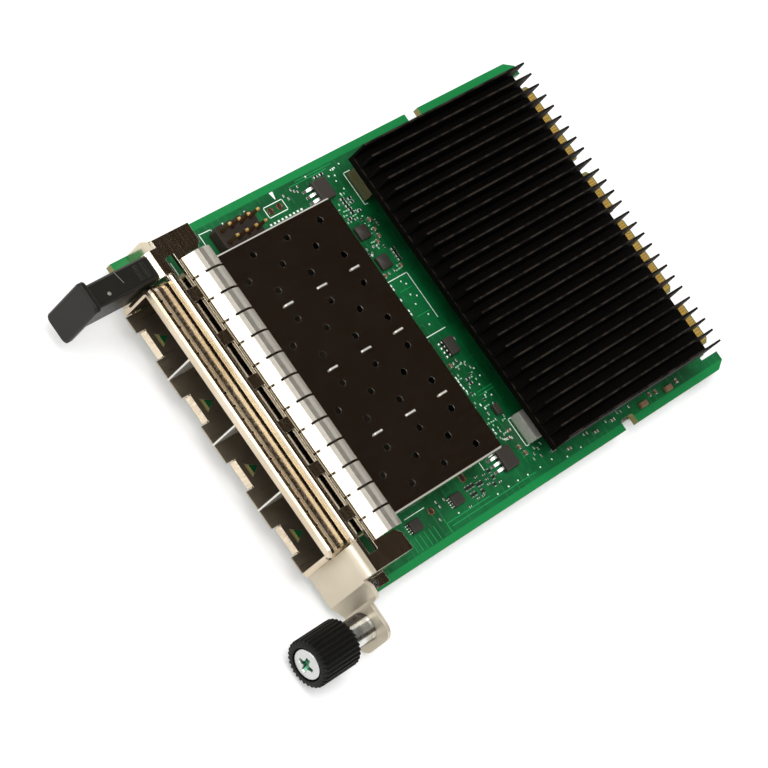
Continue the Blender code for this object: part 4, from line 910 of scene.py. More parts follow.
class Finishes:
    """Every finish of the card, built once by name."""

    def __init__(self, effects: EffectGroups, card: CardFrame) -> None:
        """Builds the materials.

        Args:
            effects: The shared effects.
            card: The frame that places the finishes which follow a shape.
        """
        sink, sleeve = Heatsink(), Thumbscrew()
        front, crest, base, ear, tip = card.metres([
            (0.0, sink.along[0], sink.base[1]), (0.0, 0.0, sink.top),
            (sleeve.axis[0], 0.0, sleeve.axis[1]), (28.8, 1.3, 0.0), (0.0, 0.0, PIN_TOP)])
        table = (
            SolderMask(),
            PlatedMetal("cage_plating", srgb(188, 182, 174), srgb(164, 158, 148), 0.07, 0.15, Run.ALONG,
                        grain_depth=0.0000008, edge_radius=0.00005),
            PlatedMetal("spring_plating", srgb(226, 212, 190), srgb(190, 172, 146), 0.12, 0.26,
                        Run.NONE, grain_scale=1500.0, grain_depth=0.000006, edge_radius=0.00005),
            SleeveReflectionBands((base[0], base[2])),
            FinAnodising(crest[2], front[2], front[1]),
            BracketPlating(ear[0], ear[1]),
            PlatedMetal("finger_plating", srgb(204, 198, 186), srgb(188, 182, 170), 0.3, 0.42,
                        Run.ALONG, grain_depth=0.0000012, edge_radius=0.00005, metallic=0.8),
            PlatedMetal("latch_plating", srgb(176, 164, 144), srgb(150, 138, 120), 0.26, 0.42,
                        Run.ALONG, grain_depth=0.000002, edge_radius=0.00006, metallic=0.85),
            # The divider, whose tabs fold over the cover, gets a whiter, less metallic plating than the
            # cover: a painted highlight.
            PlatedMetal("divider_highlight_plating", srgb(232, 230, 222), srgb(214, 210, 200), 0.2, 0.34,
                        Run.ALONG, grain_depth=0.0000008, edge_radius=0.00005, metallic=0.35),
            PinPlating(tip[2]),
            PlatedMetal("zinc_steel", srgb(214, 214, 210), srgb(180, 182, 180), 0.16, 0.3,
                        Run.NONE, grain_scale=2000.0),
            PlatedMetal("turned_steel", srgb(210, 210, 206), srgb(176, 176, 174), 0.08, 0.22,
                        Run.NONE, grain_scale=1400.0, grain_depth=0.000004),
            PlatedMetal("recess_green", srgb(40, 120, 84), srgb(120, 160, 140), 0.15, 0.3),
            PlatedMetal("tin", srgb(226, 228, 222), srgb(190, 194, 188), 0.22, 0.4, Run.NONE,
                        grain_scale=4000.0, edge_radius=0.00006),
            PlatedMetal("gold_plating", srgb(240, 196, 100), srgb(222, 172, 76), 0.24, 0.38, Run.ALONG,
                        edge_radius=0.00004, patch_scale=240.0, metallic=0.5),
            PlatedMetal("copper_ring", srgb(190, 110, 66), srgb(226, 190, 150), 0.2, 0.36),
            PlatedMetal("metal_can", srgb(216, 214, 206), srgb(188, 184, 174), 0.24, 0.4, Run.ACROSS,
                        metallic=0.3),
            Moulding("tab_plastic", srgb(22, 20, 16), srgb(84, 81, 72), 0.34, 0.46, sheen=0.2,
                     grain_depth=0.000006, edge_radius=0.0002),
            Moulding("knob_plastic", srgb(10, 10, 8), srgb(44, 44, 36), 0.36, 0.5, sheen=0.16,
                     grain_depth=0.000008, edge_radius=0.0001),
            Moulding("black_anodising", srgb(6, 5, 4), srgb(50, 46, 42), 0.4, 0.58, Run.ALONG,
                     sheen=0.1, grain_depth=0.000003, edge_radius=0.00006, specks=0.4),
            Moulding("header_plastic", srgb(40, 32, 26), srgb(84, 74, 64), 0.4, 0.6, sheen=0.3),
            Moulding("chip_compound", srgb(48, 43, 38), srgb(92, 86, 78), 0.42, 0.6, sheen=0.35,
                     grain_depth=0.00001),
            Moulding("connector_plastic", srgb(20, 19, 18), srgb(46, 44, 42), 0.4, 0.55),
            Moulding("ceramic_brown", srgb(120, 92, 66), srgb(160, 132, 104), 0.4, 0.6),
            Moulding("resistor_glaze", srgb(22, 20, 20), srgb(50, 48, 46), 0.2, 0.35),
            Moulding("olive_epoxy", srgb(84, 78, 48), srgb(124, 116, 84), 0.28, 0.42),
            Moulding("print_ink", srgb(226, 238, 228), srgb(240, 246, 240), 0.5, 0.7, sheen=0.3,
                     edge_radius=0.00002, specks=0.0),
            Moulding("masked_trace", srgb(20, 140, 74), srgb(26, 150, 84), 0.28, 0.4,
                     edge_radius=0.00003, specks=0.0),
            Moulding("thermal_silicone", srgb(120, 126, 132), srgb(150, 154, 160), 0.6, 0.8),
            Moulding("insulating_film", srgb(226, 228, 226), srgb(236, 238, 236), 0.25, 0.4, Run.ALONG),
            # Lighter plastic for the tab's rib and gate mark: a painted highlight.
            Moulding("tab_glint_plastic", srgb(116, 113, 103), srgb(132, 129, 120), 0.4, 0.5),
            Moulding("hole_shade", srgb(34, 20, 12), srgb(60, 38, 24), 0.5, 0.7),
            Moulding("bare_pad", srgb(150, 196, 164), srgb(184, 218, 194), 0.4, 0.6, sheen=0.3,
                     edge_radius=0.00002, specks=0.0),
        )
        self.made = {finish.name: finish.build(effects) for finish in table}

    def __getitem__(self, name: str) -> bpy.types.Material:
        """Returns a finish by name."""
        return self.made[name]

    def dress(self, names: dict[str, str]) -> None:
        """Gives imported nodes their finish.

        Args:
            names: Finish by the start of the node's name; the longest start that fits is taken.
        """
        for node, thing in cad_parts.items():
            start = max((s for s in names if node.startswith(s)), key=len)
            thing.data.materials.clear()
            thing.data.materials.append(self[names[start]])
            LOG.info("%s: %s", node, names[start])


# The card's own pieces


@dataclass
class CardEdge:
    """Gold contacts on both faces of the tongue."""

    groups: Sequence[tuple[float, int]] = ((-22.6, 28), (-5.5, 14), (10.35, 28), (27.2, 14))
    pitch: float = 0.6
    width: float = 0.43
    length: float = 3.63
    rear_y: float = 114.55
    top_high: float = 0.065
    plating: float = 0.055

    def middles(self) -> Array:
        """Returns the X of every contact: each group's middle plus its steps of one pitch."""
        return np.concatenate([middle + (np.arange(count) - (count - 1) / 2) * self.pitch
                               for middle, count in self.groups])

    def build(self, card: CardFrame, finishes: Finishes) -> None:
        """Builds the two rows.

        Args:
            card: The frame that the millimetre places are in.
            finishes: The card's finishes.
        """
        across = self.middles()
        y = np.full_like(across, self.rear_y - self.length / 2 + 0.015)
        for name, low, high in (("contacts_top", -0.02, self.top_high),
                                ("contacts_bottom", -BOARD_THICKNESS - self.plating,
                                 -BOARD_THICKNESS + 0.02)):
            foot = np.stack([across, y, np.full_like(across, low)], -1)
            piece = Piece(name, [finishes["gold_plating"]], "gold")
            piece.add(blocks(foot, (self.width, self.length, high - low), 0.0 if low < -1 else 0.02))
            piece.make(card)


@dataclass
class BoardPrint:
    """White printed lines and marks on the board, and lighter traces under the mask."""

    line: float = 0.17
    thick: float = 0.02
    dot_size: tuple[float, float] = (0.42, 0.5)
    dash_size: tuple[float, float] = (0.55, 0.3)
    trace_width: float = 0.16
    trace_high: float = 0.012
    box: tuple[float, float, float, float] = (-34.2, 37.6, -31.9, 42.7)
    lines: Sequence[tuple[float, float, float, float]] = (
        (-10.3, 52.0, -10.3, 58.2), (-10.3, 58.2, 0.1, 58.2), (2.6, 52.0, 2.6, 58.2),
        (-35.3, 21.0, -35.2, 24.1), (-35.4, 21.0, -30.6, 21.0), (-35.2, 24.1, -30.2, 24.1),
        (-33.1, 61.2, -33.1, 59.4), (-33.1, 59.4, -25.7, 59.4), (-25.7, 59.4, -25.7, 60.2),
        (24.0, 59.4, 24.0, 57.8), (24.0, 57.8, 30.2, 57.8), (30.2, 57.8, 30.2, 58.6),
        (29.6, 22.6, 29.6, 28.0), (28.4, 45.5, 29.7, 45.5), (-33.0, 11.7, -30.0, 11.7),
    )
    dots: tuple[float, float, float, int] = (-30.65, 36.9, 45.4, 9)
    dashes: Sequence[tuple[float, float]] = (
        (12.1, 53.0), (12.9, 53.0), (13.7, 53.0), (14.5, 53.1), (15.3, 53.3), (-9.4, 52.9),
        (-8.6, 52.9), (-6.1, 52.9), (-3.6, 53.0), (-2.8, 53.0), (-16.4, 53.4), (19.9, 54.7),
        (18.9, 54.2), (-34.8, 57.8), (-35.1, 27.3), (-34.3, 27.3), (24.2, 53.2), (25.0, 53.2),
    )
    traces: Sequence[tuple[float, float, float, float]] = (
        (33.4, 20.9, 36.0, 20.9), (33.4, 22.2, 36.2, 22.2), (33.4, 23.5, 36.2, 23.5),
        (33.4, 24.8, 36.2, 24.8), (33.4, 26.1, 36.2, 26.1), (33.4, 27.4, 36.2, 27.4),
        (33.4, 30.4, 36.2, 30.4), (34.4, 30.4, 34.4, 43.0), (35.3, 31.4, 35.3, 56.0),
        (-36.0, 48.0, -36.0, 58.0), (-35.5, 46.0, -35.5, 56.4), (17.2, 55.4, 17.2, 59.6),
        (16.5, 55.4, 16.5, 59.6), (-1.8, 54.0, -1.8, 57.4), (-7.5, 54.0, -7.5, 57.2),
    )

    def build(self, card: CardFrame, finishes: Finishes) -> None:
        """Builds the print and the traces.

        Args:
            card: The frame that the millimetre places are in.
            finishes: The card's finishes.
        """
        x0, y0, x1, y1 = self.box
        outline = np.array([(x0, y0, x1, y0), (x1, y0, x1, y1), (x1, y1, x0, y1), (x0, y1, x0, y0)])
        lines = np.concatenate([outline, np.array(self.lines)])
        ink = Piece("board_print", [finishes["print_ink"]], "board_mask")
        ink.add(strips(lines[:, :2], lines[:, 2:], self.line, -SINK_IN, self.thick))
        x, first, last, count = self.dots
        y = np.linspace(first, last, count)
        ink.add(blocks(np.stack([np.full(count, x), y, np.full(count, -SINK_IN)], -1),
                       (*self.dot_size, self.thick + SINK_IN)))
        dash = np.array(self.dashes)
        ink.add(blocks(np.column_stack([dash, np.full(len(dash), -SINK_IN)]),
                       (*self.dash_size, self.thick + SINK_IN)))
        corner = np.array([(-36.3, 40.9), (-36.3, 41.9), (-34.7, 41.5), (-34.7, 41.3)])
        levels = [np.column_stack([corner, np.full(4, z)]) for z in (-SINK_IN, self.thick)]
        ink.add((np.concatenate(levels), np.concatenate([grid_faces(2, 4, wrap_cols=True),
                                                         [[3, 2, 1, 0], [4, 5, 6, 7]]])))
        ink.make(card)
        paths = np.array(self.traces)
        copper = Piece("masked_traces", [finishes["masked_trace"]], "board_mask")
        copper.add(strips(paths[:, :2], paths[:, 2:], self.trace_width, -SINK_IN, self.trace_high))
        copper.make(card)


@dataclass
class BoardPads:
    """Tinned pads, filled vias and plated holes with their rings."""

    pads: Sequence[tuple[float, float]] = (
        (-34.9, 47.8), (-34.9, 45.9), (-34.0, 47.2), (-34.4, 46.5), (-33.6, 44.3), (-34.5, 43.6),
        (31.1, 61.2), (31.7, 60.0), (33.2, 59.6), (31.2, 59.1), (32.2, 58.4), (33.0, 57.6),
        (9.2, 55.7), (10.1, 56.4), (10.7, 57.0), (11.6, 57.7), (9.5, 54.7), (10.8, 55.0),
        (-17.7, 54.9), (-17.5, 55.9), (-16.7, 53.9), (-17.8, 53.2), (-11.8, 55.9), (-11.8, 54.4),
        (-24.3, 52.6), (-24.0, 55.2), (21.0, 54.6), (19.9, 57.2), (22.8, 55.4), (22.9, 57.6),
        (25.1, 54.6), (26.0, 54.9), (26.9, 54.3), (26.2, 53.6), (27.3, 56.0), (5.4, 58.6),
        (34.2, 71.7), (34.3, 72.7), (34.4, 78.5), (34.1, 82.4), (34.3, 83.4), (34.4, 85.9),
        (-34.9, 31.9), (-35.2, 33.4), (29.9, 31.2), (31.0, 31.4), (30.3, 33.2), (33.1, 29.7),
    )
    vias: Sequence[tuple[float, float]] = (
        (34.9, 61.2), (35.0, 57.6), (34.9, 53.9), (34.8, 51.0), (34.8, 48.2), (34.9, 44.9),
        (-34.8, 57.2), (-33.5, 57.3), (-32.4, 56.8), (-30.4, 57.3), (-34.9, 58.3), (-29.8, 55.8),
        (-33.9, 55.9), (-35.2, 59.9), (36.1, 64.9), (36.0, 69.2), (-35.9, 50.9), (-9.3, 55.6),
        (-8.4, 56.4), (-6.2, 55.7), (-5.4, 56.9), (-4.1, 55.4), (-1.2, 56.6), (0.6, 55.3),
        (17.7, 56.6), (18.3, 58.0), (15.4, 57.0), (12.2, 58.2), (14.0, 58.4), (33.9, 34.3),
    )
    rings: Sequence[tuple[float, float]] = ((-33.0, 38.8), (-33.1, 41.3), (28.9, 39.9), (30.9, 29.0))
    pad_size: tuple[float, float, float] = (0.62, 0.42, 0.09)

    def build(self, card: CardFrame, finishes: Finishes) -> None:
        """Builds pads, vias and rings.

        Args:
            card: The frame that the millimetre places are in.
            finishes: The card's finishes.
        """
        pads = np.array(self.pads)
        tinned = Piece("tinned_pads", [finishes["tin"]], "tin")
        tinned.add(blocks(np.column_stack([pads, np.full(len(pads), -SINK_IN)]),
                          self.pad_size, 0.04))
        tinned.make(card)
        vias = np.array(self.vias)
        dome = np.array([(0.19, -SINK_IN), (0.19, 0.025), (0.12, 0.045), (0.0, 0.05)])
        filled = Piece("filled_vias", [finishes["print_ink"]], "tin")
        filled.add(rings_up(np.column_stack([vias, np.zeros(len(vias))]), dome, 8))
        filled.make(card)
        rings = np.column_stack([np.array(self.rings), np.zeros(len(self.rings))])
        collar = np.array([(0.76, -SINK_IN), (0.76, 0.03), (0.5, 0.03), (0.46, -SINK_IN)])
        well = np.array([(0.5, -SINK_IN), (0.48, 0.012), (0.0, 0.008)])
        holes = Piece("plated_holes", [finishes["copper_ring"], finishes["hole_shade"]], "tin")
        holes.add(rings_up(rings, collar, 20)).add(rings_up(rings, well, 20), 1)
        holes.make(card)


class Kind(Enum):
    """Kinds of small part by size, as length, width and height in millimetres."""

    RESISTOR = (1.05, 0.52, 0.34)
    CAPACITOR = (1.05, 0.56, 0.52)
    TINY = (0.62, 0.34, 0.3)


@dataclass
class SmallParts:
    """Chip resistors and capacitors: a body between two tinned ends, in rows on the board."""

    cap_share: float = 0.24
    rows: Sequence[tuple[Kind, bool, Sequence[tuple[float, float]]]] = (
        (Kind.RESISTOR, True, ((-28.7, 55.2), (-27.9, 55.2), (-27.1, 55.3), (-26.3, 55.4),
                               (-25.5, 55.4), (-28.2, 56.9), (-27.4, 56.9), (-25.2, 57.1),
                               (-24.6, 53.9), (-15.6, 58.6), (-14.8, 58.6), (-14.0, 58.6),
                               (-13.2, 58.6), (13.4, 55.2), (14.4, 55.2))),
        (Kind.CAPACITOR, False, ((-22.7, 57.9), (-20.6, 57.6), (-19.1, 57.5), (-18.2, 56.4),
                                 (-12.0, 57.8), (-11.6, 52.9), (9.6, 53.4), (-23.7, 51.4))),
        (Kind.TINY, False, ((-23.4, 56.4), (-22.0, 59.2), (-21.2, 59.2), (-16.8, 57.2),
                            (-16.6, 52.8), (12.8, 56.6), (16.2, 53.9), (18.4, 55.6))),
        (Kind.RESISTOR, False, ((30.9, 39.0), (30.9, 39.9), (30.9, 40.8), (32.5, 39.4),
                                (32.5, 40.3), (31.4, 42.1), (32.9, 42.1), (31.4, 43.0),
                                (30.3, 46.2), (31.7, 46.2), (33.0, 45.5))),
        (Kind.TINY, True, ((30.0, 42.6), (30.4, 44.6), (31.4, 44.6), (32.4, 44.3), (33.6, 40.2),
                           (33.7, 41.6), (33.2, 47.0), (34.1, 37.4))),
        (Kind.CAPACITOR, True, ((25.9, 56.1), (27.1, 54.9), (33.6, 62.6), (35.0, 66.2),
                                (35.1, 74.6), (34.9, 80.0), (-34.6, 64.4))),
        (Kind.CAPACITOR, False, ((29.6, 55.9), (31.2, 56.4), (34.6, 92.2), (34.8, 94.0),
                                 (35.2, 100.4))),
        (Kind.RESISTOR, True, ((-34.3, 33.7), (-30.2, 33.9), (-34.9, 52.8), (-34.9, 54.4))),
    )

    def build(self, card: CardFrame, finishes: Finishes) -> None:
        """Builds all bodies and ends of a kind as one piece.

        A turned part swaps its length and width. Each end is a block that stands 0.02 mm proud.

        Args:
            card: The frame that the millimetre places are in.
            finishes: The card's finishes.
        """
        look = {Kind.RESISTOR: "resistor_glaze", Kind.CAPACITOR: "ceramic_brown",
                Kind.TINY: "resistor_glaze"}
        for kind in Kind:
            length, width, height = kind.value
            piece = Piece(f"{kind.name.lower()}_set", [finishes[look[kind]], finishes["tin"]], "ceramic")
            for _, upright, spots in (row for row in self.rows if row[0] is kind):
                foot = np.column_stack([np.array(spots), np.full(len(spots), -SINK_IN)])
                turn = np.array([0.0, 1.0]) if upright else np.array([1.0, 0.0])
                step = np.append(turn * length * (1 - self.cap_share) / 2, 0.0)
                body = np.array([length * 0.9, width, height])
                end = np.array([length * self.cap_share, width + 0.04, height + 0.02])
                order = [1, 0, 2] if upright else [0, 1, 2]
                piece.add(blocks(foot, body[order], 0.03))
                piece.add(blocks(np.concatenate([foot - step, foot + step]), end[order], 0.05), 1)
            piece.make(card)


@dataclass
class Package:
    """A moulded package with bent leads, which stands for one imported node."""

    node: str
    place: tuple[float, float]
    size: tuple[float, float, float]
    lift: float = 0.05
    lead_sides: Sequence[tuple[int, int]] = ()
    leads: int = 0
    pitch: float = 1.27
    lead_width: float = 0.4
    lead_reach: float = 0.7
    foot: float = 0.06
    draft: float = 0.1

    def body(self) -> tuple[Array, Array, Array]:
        """Works out the moulded body.

        Its ring is a rectangle with cut corners, and narrows by the draft from its middle to its
        top and bottom.

        Returns:
            Points, quads of the sides, and quads of the two lids.
        """
        middle, half = np.array(self.place), np.array(self.size[:2]) / 2
        cut = half.min() / 10
        corner = np.array([(-1, -1, cut, 0), (1, -1, -cut, 0), (1, -1, 0, cut), (1, 1, 0, -cut),
                           (1, 1, -cut, 0), (-1, 1, cut, 0), (-1, 1, 0, -cut), (-1, -1, 0, cut)])
        level = np.array([(0.0, self.draft), (0.45, 0.0), (0.93, self.draft), (1.0, self.draft + 0.06)])
        ring = middle + corner[None, :, :2] * (half - level[:, None, 1:]) + corner[None, :, 2:]
        rise = self.lift + level[:, :1] * self.size[2]
        points = np.concatenate([ring, np.broadcast_to(rise[:, :, None], (*ring.shape[:2], 1))], -1)
        lids = np.array([(3, 2, 1, 0), (5, 4, 3, 0), (7, 6, 5, 0)])
        caps = np.concatenate([lids, 8 * (len(level) - 1) + lids[:, ::-1]])
        return points.reshape(-1, 3), grid_faces(len(level), 8, wrap_cols=True), caps

    def build(self, card: CardFrame, finishes: Finishes) -> None:
        """Builds the body, its first-lead mark and its leads.

        Args:
            card: The frame that the millimetre places are in.
            finishes: The card's finishes.
        """
        package = Piece(self.node + "_dressed", [finishes["chip_compound"], finishes["tin"]],
                        "chip_plastic", replaces=[self.node])
        package.add(self.body())
        middle, half = np.array(self.place), np.array(self.size[:2]) / 2
        mark = np.array([*(middle - half + 0.5), self.lift + self.size[2]])
        package.add(rings_up(mark, np.array([(0.16, -SINK_IN), (0.15, 0.006), (0.0, 0.006)]), 12))
        start, reach = self.lift + self.size[2] * 0.42, self.lead_reach
        for side in self.lead_sides:
            steps = (np.arange(self.leads) - (self.leads - 1) / 2) * self.pitch
            edge = middle + np.array(side) * (half - 0.05)
            flat = edge + steps[:, None] * np.abs(np.array([side[1], side[0]]))
            path = np.array([(0.0, start), (reach * 0.22, start), (reach * 0.4, start * 0.6),
                             (reach * 0.55, self.foot), (reach * 0.8, self.foot), (reach, self.foot)])
            package.add(ribbons(path, 0.09, self.lead_width,
                                np.column_stack([flat, np.zeros(self.leads)]),
                                np.tile(np.array(side, float), (self.leads, 1))), 1)
        package.make(card)


PACKAGES = (
    Package("power_package_left", (-32.0, 52.1), (4.6, 3.9, 1.2), 0.05, ((0, -1),), 3, 1.27, 0.6, 2.3),
    Package("power_package_right", (30.1, 51.3), (4.6, 3.9, 1.2), 0.05, ((0, -1),), 3, 1.27, 0.6, 2.3),
    Package("memory_chip", (6.3, 56.0), (3.7, 2.6, 1.1), 0.15, ((0, -1), (0, 1)), 4, 0.95, 0.4, 0.7),
    Package("flat_chip_1", (-21.1, 54.4), (3.0, 3.0, 0.8)),
    Package("flat_chip_2", (-14.1, 54.5), (3.0, 3.0, 0.8)),
    Package("side_chip_1", (31.6, 23.5), (2.4, 2.9, 0.9), 0.05, ((0, -1), (0, 1)), 4, 0.55, 0.22, 0.45),
    Package("side_chip_2", (31.6, 35.4), (2.4, 2.9, 0.9), 0.05, ((0, -1), (0, 1)), 4, 0.55, 0.22, 0.45),
)


@dataclass
class Heatsink:
    """The finned extrusion on its pedestal and posts, with tapered fins and filleted roots."""

    width: float = 68.0
    along: tuple[float, float] = (57.6, 105.9)
    base: tuple[float, float] = (5.4, 6.8)
    top: float = 11.5
    fins: int = 27
    pitch: float = 2.6
    pedestal: tuple[float, float, float] = (21.0, 82.0, 2.9)
    posts: Sequence[tuple[float, float]] = ((-26.5, 66.5), (26.5, 66.5), (-26.5, 100.0), (26.5, 100.0))
    post_radius: float = 2.8

    def section(self) -> Array:
        """Returns the section's upper line, from left to right, in X and Z.

        Every fin adds the same ten points about its middle; those that fall off the base's width
        are left out, and each end closes with one point on the outer wall.
        """
        low, high = self.base[1], self.top
        half = np.array([(-0.55, low), (-0.42, low + 0.04), (-0.35, low + 0.18), (-0.22, high - 0.08),
                         (-0.12, high)])
        one = np.concatenate([half, half[::-1] * (-1, 1)])
        middles = (np.arange(self.fins) - (self.fins - 1) / 2) * self.pitch
        line = one[None] + np.column_stack([middles, np.zeros(self.fins)])[:, None]
        line = line.reshape(-1, 2)
        edge = self.width / 2
        line = line[np.abs(line[:, 0]) < edge - 0.01]
        ends = np.array([(-edge, high - 0.06), (edge, high - 0.06)])
        return np.concatenate([ends[:1], line, ends[1:]])

    def build(self, card: CardFrame, finishes: Finishes) -> None:
        """Builds the extrusion, the pedestal and the posts.

        The extrusion is the section's line and its shadow on the base's underside, drawn along the
        card; the strips between line and shadow close the two ends.

        Args:
            card: The frame that the millimetre places are in.
            finishes: The card's finishes.
        """
        upper = self.section()
        count = len(upper)
        lower = np.column_stack([upper[::-1, 0], np.full(count, self.base[0])])
        ring = np.concatenate([upper, lower])
        rings = [np.column_stack([ring[:, 0], np.full(2 * count, y), ring[:, 1]]) for y in self.along]
        index = np.arange(count - 1)
        ends = np.column_stack([index, index + 1, 2 * count - 2 - index, 2 * count - 1 - index])
        sink = Piece("finned_heatsink", [finishes["fin_anodising"]], "sink_anodised",
                     replaces=["heatsink"], crease=30.0)
        sink.add((np.concatenate(rings), grid_faces(2, 2 * count, wrap_cols=True),
                  np.concatenate([ends, ends + 2 * count])))
        side, middle, low = self.pedestal
        sink.add(blocks((0.0, middle, low), (side, side, self.base[0] - low + SINK_IN)))
        foot = np.array([(0.0, 0.05), (self.post_radius - 0.15, 0.05), (self.post_radius, 0.2),
                         (self.post_radius, self.base[0] + SINK_IN), (0.0, self.base[0] + SINK_IN)])
        places = np.column_stack([np.array(self.posts), np.zeros(len(self.posts))])
        sink.add(rings_up(places, foot, 24))
        sink.make(card)


@dataclass
class DensePads:
    """Small bare pads that crowd the board between the cage and the heatsink."""

    low: tuple[float, float] = (-29.5, 51.9)
    high: tuple[float, float] = (29.0, 57.3)
    step: tuple[float, float] = (0.78, 0.66)
    share: float = 0.24
    seed: int = 11
    jitter: float = 0.09
    size: tuple[float, float, float] = (0.26, 0.46, 0.05)
    keep_out: Sequence[tuple[float, float, float, float]] = (
        (-34.8, 48.0, -29.0, 55.0), (-23.2, 52.4, -19.0, 56.4), (-16.2, 52.5, -12.0, 56.5),
        (3.2, 53.4, 9.2, 58.6), (27.3, 47.5, 33.0, 54.0), (-10.8, 51.5, 3.0, 58.6))

    def build(self, card: CardFrame, finishes: Finishes) -> None:
        """Builds the pads: every place of a grid outside the packages, kept by a seeded draw.

        Args:
            card: The frame that the millimetre places are in.
            finishes: The card's finishes.
        """
        x, y = np.meshgrid(np.arange(self.low[0], self.high[0], self.step[0]),
                           np.arange(self.low[1], self.high[1], self.step[1]), indexing="ij")
        spots = np.column_stack([x.ravel(), y.ravel()])
        draw = np.random.default_rng(self.seed)
        spots = spots[draw.random(len(spots)) < self.share]
        spots = spots + draw.uniform(-self.jitter, self.jitter, spots.shape)
        for x0, y0, x1, y1 in self.keep_out:
            inside = (spots[:, 0] > x0) & (spots[:, 0] < x1) & (spots[:, 1] > y0) & (spots[:, 1] < y1)
            spots = spots[~inside]
        upright = draw.random(len(spots)) < 0.5
        width, length, height = self.size
        sizes = np.where(upright[:, None], self.size, (length, width, height))
        pads = Piece("dense_pads", [finishes["bare_pad"]], "tin")
        pads.add(blocks(np.column_stack([spots, np.full(len(spots), -SINK_IN)]), sizes, 0.02))
        pads.make(card)


@dataclass
class TabMarks:
    """The thin rib and the gate mark on the pull tab's arm, in lighter plastic that paints the light
    they catch.
    """

    height: float = 11.2
    lines: Sequence[tuple[float, float, float, float]] = ((-33.95, -9.05, -31.6, -8.5),)
    gate: tuple[float, float] = (-31.0, -12.5)
    rib_width: float = 0.13
    rib_rise: float = 0.03

    def build(self, card: CardFrame, finishes: Finishes) -> None:
        """Builds the marks as low reliefs on the arm's top face, coloured as a painted highlight.

        Args:
            card: The frame that the millimetre places are in.
            finishes: The card's finishes.
        """
        paths = np.array(self.lines)
        # The marks' lighter colour is a painted highlight.
        marks = Piece("tab_marks", [finishes["tab_glint_plastic"]], "tab_plastic")
        marks.add(strips(paths[:, :2], paths[:, 2:], self.rib_width, self.height - 0.05,
                         self.height + self.rib_rise))
        dome = np.array([(0.42, -0.05), (0.38, 0.03), (0.2, 0.08), (0.0, 0.09)])
        marks.add(rings_up(np.array([*self.gate, self.height]), dome, 14))
        marks.make(card)


